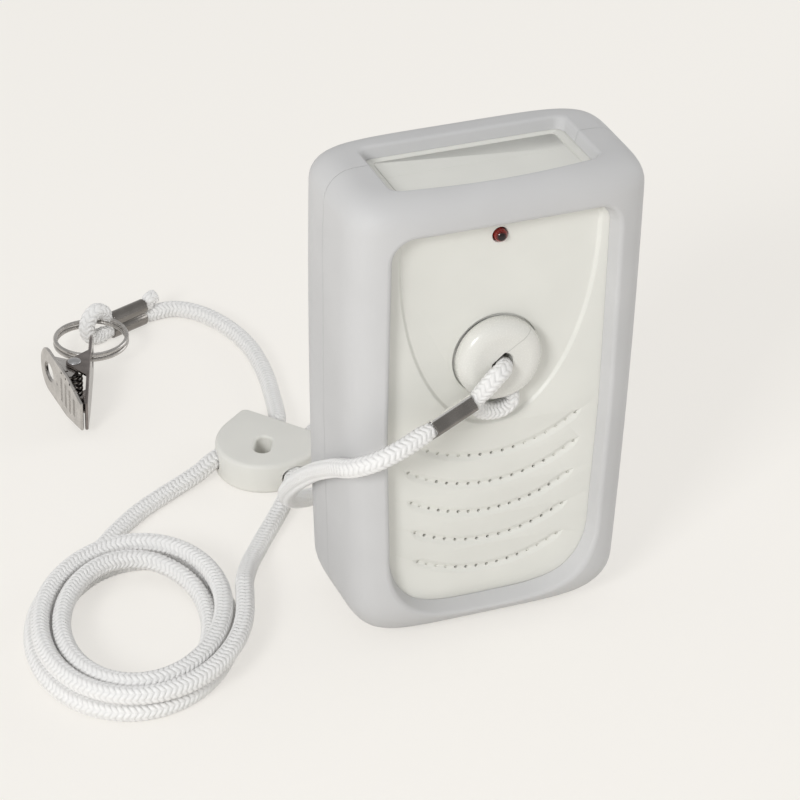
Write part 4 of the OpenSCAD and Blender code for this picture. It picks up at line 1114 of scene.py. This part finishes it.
def make_lamp():
    dome = [(1.5 * math.cos(t), 1.5 * math.sin(t)) for t in angles(0, 89, 14)][::-1]
    profile = dome + [(1.5, -4.4), (1.9, -4.4), (1.9, -5.4), (0.02, -5.4)]
    o = turned("lamp_lens", profile, (0, -FACE + 0.6, LAMP_Z), (0, -1, 0), 48)
    legs = [rod("Leg", (x, -8.9, LAMP_Z), (x, 7.2, LAMP_Z), 0.25, 12) for x in (-1.27, 1.27)]
    combine(o, legs, "UNION")
    ready(tidied(o, 40), "alarm", "lamp_red", "lamp_red", "lamp")


# Disc

def make_disc():
    wide, high = 3.4, 2.4
    rim = [(DISC_R - wide + wide * math.cos(t), DISC_FRONT + high - high * math.sin(t))
           for t in angles(0, 90, 19)]
    rim += [(r, DISC_FRONT + dip) for r, dip in ((6.2, 0.03), (5.2, 0.09), (3.8, 0.12), (0.02, 0.12))]
    profile = [(0.02, DISC_BACK), (9.5, DISC_BACK), (9.85, DISC_BACK - 0.15), (10, DISC_BACK - 0.5)] + rim
    o = turned("disc_face", profile, (0, 0, DISC_Z), (0, 1, 0), 128)
    # The cord's hole has one straight side
    normal = np.array([-math.sin(CHORD_TURN), math.cos(CHORD_TURN)])
    hole = []
    for grow in (0, 0, 0.5):
        loop = []
        for t in np.linspace(0, 2 * math.pi, 64, endpoint=False):
            q = (HOLE_R + grow) * np.array([math.cos(t), math.sin(t)])
            q = q - max(0.0, q @ normal - CHORD - grow) * normal
            loop.append(q)
        hole.append(loop)
    depths = (DISC_BACK + 1, DISC_FRONT + 0.5, DISC_FRONT - 0.2)
    cuts = [skin("Hole", [[(x, y, DISC_Z + z) for x, z in loop] for loop, y in zip(hole, depths)])]
    c, s = math.cos(CHANNEL_TURN), math.sin(CHANNEL_TURN)

    def placed(u, y, v):
        return u * c - v * s, y, DISC_Z + u * s + v * c

    cuts.append(slab("Channel", placed, 0, 14, -2.5, 2.5, DISC_FRONT + 1, DISC_BACK + 1))
    cuts.append(rod("Bend", (2.6, DISC_FRONT + 0.8, DISC_Z - 10.6), (2.6, DISC_BACK + 1, DISC_Z - 10.6), 3.7))
    cuts += [slab("Pocket", placed, -5.1, 3.1, v - 2, v + 2, DISC_BACK - 2.55, DISC_BACK + 1)
             for v in (-5.4, 5.4)]
    combine(o, cuts)
    ready(tidied(o, 32), "magnet", "disc_plastic", "disc_plastic", "disc_cap")


# Metal sleeves

def sleeve(name, at, along_dir, stack, flat):
    """A crimped sleeve. A flat one is a folded sheet, and the other has two barrels with a groove between."""
    h, u = unit(along_dir), unit(stack)
    v = np.cross(u, h)
    if flat:
        outer, inner = rounded(2.05, -3.65, 3.65, 0.85, 6), rounded(1.62, -3.22, 3.22, 0.5, 6)
    else:
        r = BARREL + SLEEVE_T
        right = [(0, -r), (0.5, -r), (1, -r)]
        right += [(BARREL + r * math.cos(t), r * math.sin(t)) for t in angles(-90, 128, 22)]
        outer = [(b, a) for a, b in both_sides(right + [(0.18, 1.32), (0, 1.2)])]

    def ringed(loop, s, scale=1.0):
        return [at + s * h + scale * (q[0] * v + q[1] * u) for q in loop]

    ends = ((0, 0.955), (0.12, 1.0), (SLEEVE_LEN - 0.12, 1.0), (SLEEVE_LEN, 0.955))
    o = skin(name, [ringed(outer, s, k) for s, k in ends])
    if flat:
        combine(o, [skin("Bore", [ringed(inner, -1), ringed(inner, SLEEVE_LEN + 1)])])
    else:
        middles = [at + k * BARREL * u for k in (-1, 1)]
        combine(o, [rod("Bore", q - h, q + (SLEEVE_LEN + 1) * h, BARREL + 0.03) for q in middles])
    return tidied(o, 34)


def make_sleeves():
    ready(sleeve("sleeve_folded", SLV_AT, SLV_DIR, SLV_UP, True), "magnet", "sleeve_steel", "bright_steel",
          "disc_sleeve")
    middle = SLC_AT + [0, 0, (SLC_LOW + SLC_HIGH) / 2]
    ready(sleeve("sleeve_barrels", middle, SLC_DIR, (0, 0, 1), False), "alarm", "dark_steel", "bright_steel",
          "clip_sleeve")


# Cord and its two loops

def loop_tube(name, points, radii):
    """A braided tube through points, with a radius at each."""
    line = smooth(points, 8)
    r = np.interp(np.arange(len(line)) / 8, np.arange(len(radii)), radii)
    s = travelled(line)
    fine = even(line, 0.26)
    return tube(name, fine, np.interp(travelled(fine), s, r), 32, braid)


def make_loops():
    back = [[-6.6, -17.9, 61.6], [-4.6, -17.2, 59.7], [-1.8, -16.5, 58.5], [1.2, -16.1, 58.5],
            [3.3, -15.95, 60.1], [3, -15.35, 63.2], [1.9, -15.35, 66.6]]
    front = [[0.9, -15.9, 69.3], [0.45, -17.6, 70.4], [-0.7, -19.8, 70.7], [-2.7, -21.1, 70.2],
             [-4.5, -21.4, 68.6], [-5.8, -21.1, 66.9], [-7, -20.6, 65.1]]
    q = BARREL - 0.03
    path = [SLV_BACK_END + 1.6 * SLV_DIR + [0, 0, -0.6], SLV_BACK_END - SLV_DIR, SLV_BACK] + back + front
    path += [SLV_FRONT, SLV_FRONT_END - 0.02 * SLV_DIR]
    radii = [1.35, q, q, 1.8, 2, 2.05, 2.05, 1.9, 1.75, 1.75, 1.7, 1.85, 2, 2.1, 2.1, 2, 1.8, q, q]
    ready(loop_tube("disc_loop", path, radii), "magnet", "cord_nylon", "cord_nylon", "disc_eye")
    low, high = SLC_LOW, SLC_HIGH
    bend = [[0, low], [2.4, RC], [4.8, RC], [7, 3.4], [8, 6], [7, 8.6], [4.8, 9.8], [2.2, 8.5], [0, high]]
    path = [SLC_AT + [0, 0, low] + 0.02 * SLC_DIR] + [SLC_END + a * SLC_DIR + [0, 0, z] for a, z in bend]
    path += [SLC_AT + [0, 0, high] - 0.3 * SLC_DIR, SLC_AT + [0, 0, high + 1.3] - 2 * SLC_DIR,
             SLC_AT + [0, 0, high + 1.7] - 4 * SLC_DIR]
    radii = [q, q, 2, 2.1, 2.1, 2.1, 2.1, 2.1, 1.9, q, q, 1.9, 1.8]
    ready(loop_tube("clip_loop", path, radii), "alarm", "cord_nylon", "cord_nylon", "clip_eye")


def make_cord():
    line = cord_line()
    r = np.full(len(line), RC - 0.02)
    s = travelled(line)
    # The sleeves squeeze both of its ends
    for end in (s, s[-1] - s):
        r = np.minimum(r, BARREL + (RC - BARREL) * np.clip(end / 3.0, 0, 1) ** 0.7)
    o = tube("cord_braid", line, r, 32, braid)
    ready(o, None, "cord_nylon", "cord_nylon", "cord_lead", "cord_from_coil", "cord_coil", "cord_to_coil",
          "cord_to_clip")
    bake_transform(o)
    tuple(SLV_FRONT_END * MM)


# Adjuster

def adjuster_line(g):
    """Outline of the adjuster, drawn in by g: a blunt end at its mouth, and a round one."""
    end, half, corner = ADJ_MOUTH - g, ADJ_HALF - g, 1.5
    q = [(end, 0), (end, half - corner)] + arc(end - corner, half - corner, corner, 10, 90, 6)
    q += [(3, half)] + [(3 + (ADJ_ROUND - g) * math.cos(t), half * math.sin(t)) for t in angles(94, 180, 40)]
    return q + [(x, -y) for x, y in q[-2:0:-1]]


def make_adjuster():
    levels = quarter(1.2, 7)
    levels += [(ADJ_T - z, g) for z, g in levels[::-1]]
    o = skin("adjuster_body", [[adj(x, y, z) for x, y in adjuster_line(g)] for z, g in levels])
    cuts = []
    for a, b in ((IN_LEAD, OUT_LEAD), (IN_CLIP, OUT_CLIP)):
        h = unit(b - a)
        cuts.append(rod("Channel", a - 6 * h, b + 6 * h, 2.5))
    mouth = slab("Mouth", lambda x, y, z: adj(x, z, y), 7, 13, -10.4, 10.4, 1.4, ADJ_T - 1.4)
    cuts.append(bevel(mouth, 0.9, 4))
    # The slot through its middle, with rounded edges
    turn, half, ease = math.radians(25), 2, 0.7

    def slot_loop(r, z):
        q = arc(0.3, 0, r, -90, 90, 14) + arc(-3.3, 0, r, 90, 270, 14)
        return [adj(x * math.cos(turn) - y * math.sin(turn), x * math.sin(turn) + y * math.cos(turn), z)
                for x, y in q]

    rounds = [(half + ease - ease * math.cos(t), ease - ease * math.sin(t))
              for t in np.radians((75, 55, 35, 15, 0))]
    wide = rounds[0][0]
    loops = [(wide, -1)] + rounds + [(w, ADJ_T - z) for w, z in rounds[::-1]] + [(wide, ADJ_T + 1)]
    cuts.append(skin("Slot", [slot_loop(w, z) for w, z in loops]))
    combine(o, cuts)
    ready(tidied(o, 36), "alarm", "adjuster_plastic", "disc_plastic", "adjuster")


# Split ring and clip

def make_ring():
    wound = np.linspace(0, 690, 260)
    t = np.radians(wound) + RING_AZ - math.radians(171)
    # The wire climbs evenly, so its two turns lie side by side
    rise = (RING_WIRE + 0.3) * wound / 360 * 0.98
    line = np.stack([RING_C[0] + RING_R * np.cos(t), RING_C[1] + RING_R * np.sin(t), RING_Z + rise], 1)
    o = tube("key_ring", line, RING_WIRE / 2, 14)
    ready(tidied(o, 40), "alarm", "bright_steel", "bright_steel", "split_ring")


def plate_line(x0, g=0.0):
    """Outline of a clip plate: a round end, straight sides and a blunt tip."""
    w = CLIP_W
    q = [(TIP_X - g, w / 2), (TIP_X - g, w - 2.2 - g * 0.6), (TIP_X - 11, w - g)]
    q += [(x, w - g) for x in np.linspace(TIP_X - 13, x0, 8)]
    q += [(x0 + (w / 2 - g) * math.cos(t), w / 2 + (w / 2 - g) * math.sin(t)) for t in angles(95, 180, 18)]
    return q + [(x, w - z) for x, z in q[-2:0:-1]]


def make_jaw(name, x0, hole_x, off, ear_z, place, embossed):
    """One plate with its two ears, its hole and, on the front one, its pressed lines."""
    ease = 0.22

    def laid_out(y, g):
        return [place(x, y, z) for x, z in plate_line(x0, g)]

    layers = [(off, ease), (off + ease, 0.0), (off + CLIP_T - ease, 0.0), (off + CLIP_T, ease)]
    o = skin(name, [laid_out(y, g) for y, g in layers])
    ears = []
    for z in (ear_z, CLIP_W - ear_z - CLIP_T):
        base = [(PIN_X + 6.5, off + CLIP_T / 2), (PIN_X - 6.5, off + CLIP_T / 2)]
        base += [(PIN_X + 2.1 * math.cos(t), PIN_Y + 2.1 * math.sin(t)) for t in angles(205, 335, 16)]
        ears.append(bevel(skin("Ear", [[place(x, y, q) for x, y in base] for q in (z, z + CLIP_T)]), 0.15))
    combine(o, ears, "UNION")
    cuts = [rod("Pin", place(PIN_X, PIN_Y, -1), place(PIN_X, PIN_Y, CLIP_W + 1), PIN_D / 2 + 0.03, 32)]
    for w, y0, y1 in ((2.2, off - 1, off + CLIP_T + 1), (2.5, off + CLIP_T - 0.18, off + CLIP_T + 1)):
        loops = []
        for y in (y0, y1):
            q = arc(0, 0, w, -90, 90, 16) + arc(0, 0, w, 90, 270, 16)
            stretch = 1.35 if embossed else 1.0
            loops.append([place(hole_x + a * stretch, y, CLIP_W / 2 + b) for a, b in q])
        cuts.append(skin("Eye", loops))
    if embossed:
        out, middle = off + CLIP_T, CLIP_W / 2
        for k in range(4):
            wide = (0.28 if k < 3 else 0.2) * CLIP_W
            for step in (0, 0.7):
                x = 13.6 + 3.1 * k + step
                line = slab("Line", place, x, x + 0.32, middle - wide, middle + wide, out - 0.22, out + 1)
                cuts.append(bevel(line, 0.08, 1))
            x = 14.2 + 3.1 * k
            cuts.append(slab("Notch", place, x - 0.35, x + 0.35, CLIP_W - 1.35, CLIP_W - 0.75, off - 1,
                             out + 1))
        at = np.array(place(10.6, out, middle))
        cuts.append(turned("Dimple", [(0.02, -0.3), (0.5, -0.22), (0.8, 0.05), (0.9, 1)], at,
                           np.array(place(10.6, out + 1, middle)) - at, 24))
    combine(o, cuts)
    return tidied(o, 34)


def front_point(x, y, z):
    """A point of the front plate's plan: mirrored, and turned about the tip."""
    c, s = math.cos(CLIP_ANGLE), math.sin(CLIP_ANGLE)
    a, b = x - TIP_X, -y
    return clip_point(TIP_X + a * c - b * s, a * s + b * c, z)


def make_clip():
    ready(make_jaw("clip_frame", 0, 0, 0, 0, clip_point, False), "clip", "clip_steel", "bright_steel",
          "clip_rear")
    ready(make_jaw("clip_plate", 4, 4.6, 0.3, CLIP_T + 0.1, front_point, True), "jaw", "bright_steel",
          "bright_steel", "clip_front")
    turns = np.linspace(0, 5 * 2 * math.pi, 180)
    helix = [[PIN_X + 1.75 * math.cos(t), PIN_Y + 1.75 * math.sin(t), 2.6 + 6.8 * t / turns[-1]]
             for t in turns]
    spring = tube("clip_coil", np.array([clip_point(*q) for q in helix]), 0.35, 10)
    ready(tidied(spring, 40), "clip", "dark_steel", "bright_steel", "clip_spring")
    dome = [(1.7 * math.cos(t), 0.12 + 0.5 * math.sin(t)) for t in angles(0, 88, 8)]
    profile = [(0.02, 0.05), (PIN_D / 2 - 0.1, 0.05), (PIN_D / 2, 0.15), (PIN_D / 2, CLIP_W - 0.02)]
    profile += [(1.7, CLIP_W)] + [(r, CLIP_W + h) for r, h in dome]
    rivet = turned("clip_rivet", profile, clip_point(PIN_X, PIN_Y, 0), (0, 0, 1), 40)
    ready(tidied(rivet, 40), "clip", "screw_steel", "screw_steel", "clip_pin")


# The nodes that keep their CAD form

def dress_inside():
    for n, o in frame["nodes"].items():
        slot = next(s["material_slot"] for s in frame["record"]["subparts"] if s["node"] == n)
        if slot in Paint.made:
            wear(o, slot)


# The add-on

def length(name, description, default, low, high):
    return bpy.props.FloatProperty(name=name, description=description, default=default, min=low, max=high,
                                   precision=5, subtype="DISTANCE", unit="LENGTH")


def colour(name, description, default):
    return bpy.props.FloatVectorProperty(name=name, description=description, default=default, min=0, max=1,
                                         size=3, subtype="COLOR")


def power(name, description, default):
    return bpy.props.FloatProperty(name=name, description=description, default=default, min=0, max=40,
                                   subtype="POWER", unit="POWER")


class AlarmSizes(bpy.types.PropertyGroup):
    """Sizes of the small forms that the CAD leaves plain"""
    window_lip: length("Window lip", "Radius of the soft edge round the front opening", 0.0015, 0.0008, 0.002)
    top_lip: length("Top and back lip", "Radius of the soft edge round the other two openings", 0.001, 0.0005,
                    0.0014)
    shield_wall: length("Shield edge", "Width of the step round the shield-shaped recess", 0.0011, 0.0003,
                        0.0014)
    groove: length("Channel depth", "Depth of the soft channel along a row of sound holes", 0.0006, 0.0001,
                   0.0008)
    stitch: length("Stitch", "Length of one stitch of the braided cord", 0.0013, 0.0009, 0.002)
    stitch_height: length("Stitch height", "How far a stitch stands out of the cord", 0.00024, 0.00005,
                          0.0004)


class AlarmColours(bpy.types.PropertyGroup):
    """Colours of the pieces that show"""
    boot: colour("Boot", "Soft rubber of the boot", (0.60, 0.60, 0.603))
    case: colour("Case", "Plastic of the case", (0.78, 0.78, 0.735))
    disc: colour("Disc", "Plastic of the disc and of the cord's adjuster", (0.765, 0.76, 0.72))
    cord: colour("Cord", "Nylon of the cord", (0.94, 0.935, 0.925))
    steel: colour("Bright steel", "Plated steel of the clip and of the ring", (0.53, 0.51, 0.49))
    dark_steel: colour("Dark steel", "Steel of the two sleeves and of the spring", (0.25, 0.235, 0.22))
    lamp: colour("Lamp", "Lens of the lamp", (0.10, 0.010, 0.008))


class AlarmLight(bpy.types.PropertyGroup):
    """Light and floor of the studio"""
    key: power("Key", "Power of the large lamp at the front left", 9.2)
    rim: power("Rim", "Power of the lamp at the right, behind the object", 1.5)
    top: power("Top", "Power of the lamp over the object", 0.8)
    sky: bpy.props.FloatProperty(name="Sky", description="Strength of the even light from all sides",
                                 default=0.6, min=0, max=2, subtype="FACTOR")
    floor: colour("Floor", "Paper that the object stands on", (0.913, 0.888, 0.845))


class ALARM_OT_stage(bpy.types.Operator):
    """Set up the camera, the lamps, the sky and the floor"""
    bl_idname = "alarm.stage"
    bl_label = "Stage"

    def execute(self, context):
        make_stage()
        return {"FINISHED"}


class ALARM_OT_finishes(bpy.types.Operator):
    """Make the materials, and give one to each CAD piece"""
    bl_idname = "alarm.finishes"
    bl_label = "Finishes"

    def execute(self, context):
        make_finishes()
        dress_inside()
        return {"FINISHED"}


class ALARM_OT_loops(bpy.types.Operator):
    """Braid the cord's two loops, at the disc and at the clip"""
    bl_idname = "alarm.loops"
    bl_label = "Cord loops"

    def execute(self, context):
        make_loops()
        return {"FINISHED"}


class ALARM_OT_sleeves(bpy.types.Operator):
    """Form the two metal sleeves that hold the loops"""
    bl_idname = "alarm.sleeves"
    bl_label = "Sleeves"

    def execute(self, context):
        make_sleeves()
        return {"FINISHED"}


class ALARM_OT_adjuster(bpy.types.Operator):
    """Form the adjuster that the cord runs through"""
    bl_idname = "alarm.adjuster"
    bl_label = "Adjuster"

    def execute(self, context):
        make_adjuster()
        return {"FINISHED"}


class ALARM_OT_clip(bpy.types.Operator):
    """Form the split ring and the sprung clip"""
    bl_idname = "alarm.clip"
    bl_label = "Ring and clip"

    def execute(self, context):
        make_ring()
        make_clip()
        return {"FINISHED"}


class ALARM_OT_cord(bpy.types.Operator):
    """Braid the cord along its route"""
    bl_idname = "alarm.cord"
    bl_label = "Cord"

    def execute(self, context):
        make_cord()
        return {"FINISHED"}


class ALARM_OT_boot(bpy.types.Operator):
    """Form the rubber boot with its three openings"""
    bl_idname = "alarm.boot"
    bl_label = "Boot"

    def execute(self, context):
        make_boot()
        return {"FINISHED"}


class ALARM_OT_front(bpy.types.Operator):
    """Form the front half of the case with its shield, its socket and its sound holes"""
    bl_idname = "alarm.front"
    bl_label = "Case front"

    def execute(self, context):
        make_front()
        return {"FINISHED"}


class ALARM_OT_back(bpy.types.Operator):
    """Finish the back half of the case, the battery door and the slider"""
    bl_idname = "alarm.back"
    bl_label = "Case back"

    def execute(self, context):
        make_back()
        return {"FINISHED"}


class ALARM_OT_screws(bpy.types.Operator):
    """Form the four case screws"""
    bl_idname = "alarm.screws"
    bl_label = "Case screws"

    def execute(self, context):
        make_screws()
        return {"FINISHED"}


class ALARM_OT_lamp(bpy.types.Operator):
    """Form the lamp"""
    bl_idname = "alarm.lamp"
    bl_label = "Lamp"

    def execute(self, context):
        make_lamp()
        return {"FINISHED"}


class ALARM_OT_disc(bpy.types.Operator):
    """Form the disc that the cord pulls off"""
    bl_idname = "alarm.disc"
    bl_label = "Disc"

    def execute(self, context):
        make_disc()
        return {"FINISHED"}


STEPS = (ALARM_OT_finishes, ALARM_OT_stage, ALARM_OT_loops, ALARM_OT_sleeves, ALARM_OT_adjuster,
         ALARM_OT_clip, ALARM_OT_cord, ALARM_OT_boot, ALARM_OT_front, ALARM_OT_back, ALARM_OT_screws,
         ALARM_OT_lamp, ALARM_OT_disc)


class ALARM_PT_panel(bpy.types.Panel):
    """The personal alarm's sizes, colours, light and steps"""
    bl_idname = "ALARM_PT_panel"
    bl_label = "Personal alarm"
    bl_space_type = "VIEW_3D"
    bl_region_type = "UI"
    bl_category = "Alarm"

    def draw(self, context):
        for group in GROUPS:
            box = self.layout.box()
            box.label(text=group.removeprefix("alarm_").capitalize())
            settings = getattr(context.scene, group)
            for name in type(settings).__annotations__:
                box.prop(settings, name)
        column = self.layout.column(align=True)
        for step in STEPS:
            column.operator(step.bl_idname)


GROUPS = {"alarm_sizes": AlarmSizes, "alarm_colours": AlarmColours, "alarm_light": AlarmLight}


def register():
    for c in (*GROUPS.values(), *STEPS, ALARM_PT_panel):
        bpy.utils.register_class(c)
    for name, group in GROUPS.items():
        setattr(bpy.types.Scene, name, bpy.props.PointerProperty(type=group))


def unregister():
    for name in GROUPS:
        delattr(bpy.types.Scene, name)
    for c in (ALARM_PT_panel, *reversed(STEPS), *GROUPS.values()):
        bpy.utils.unregister_class(c)


def main():
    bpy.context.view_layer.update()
    register()
    bpy.ops.alarm.finishes()
    bpy.ops.alarm.stage()
    bpy.ops.alarm.loops()
    bpy.ops.alarm.sleeves()
    bpy.ops.alarm.adjuster()
    bpy.ops.alarm.clip()
    bpy.ops.alarm.cord()
    bpy.ops.alarm.boot()
    bpy.ops.alarm.front()
    bpy.ops.alarm.back()
    bpy.ops.alarm.screws()
    bpy.ops.alarm.lamp()
    bpy.ops.alarm.disc()


if __name__ == "__main__":
    main()
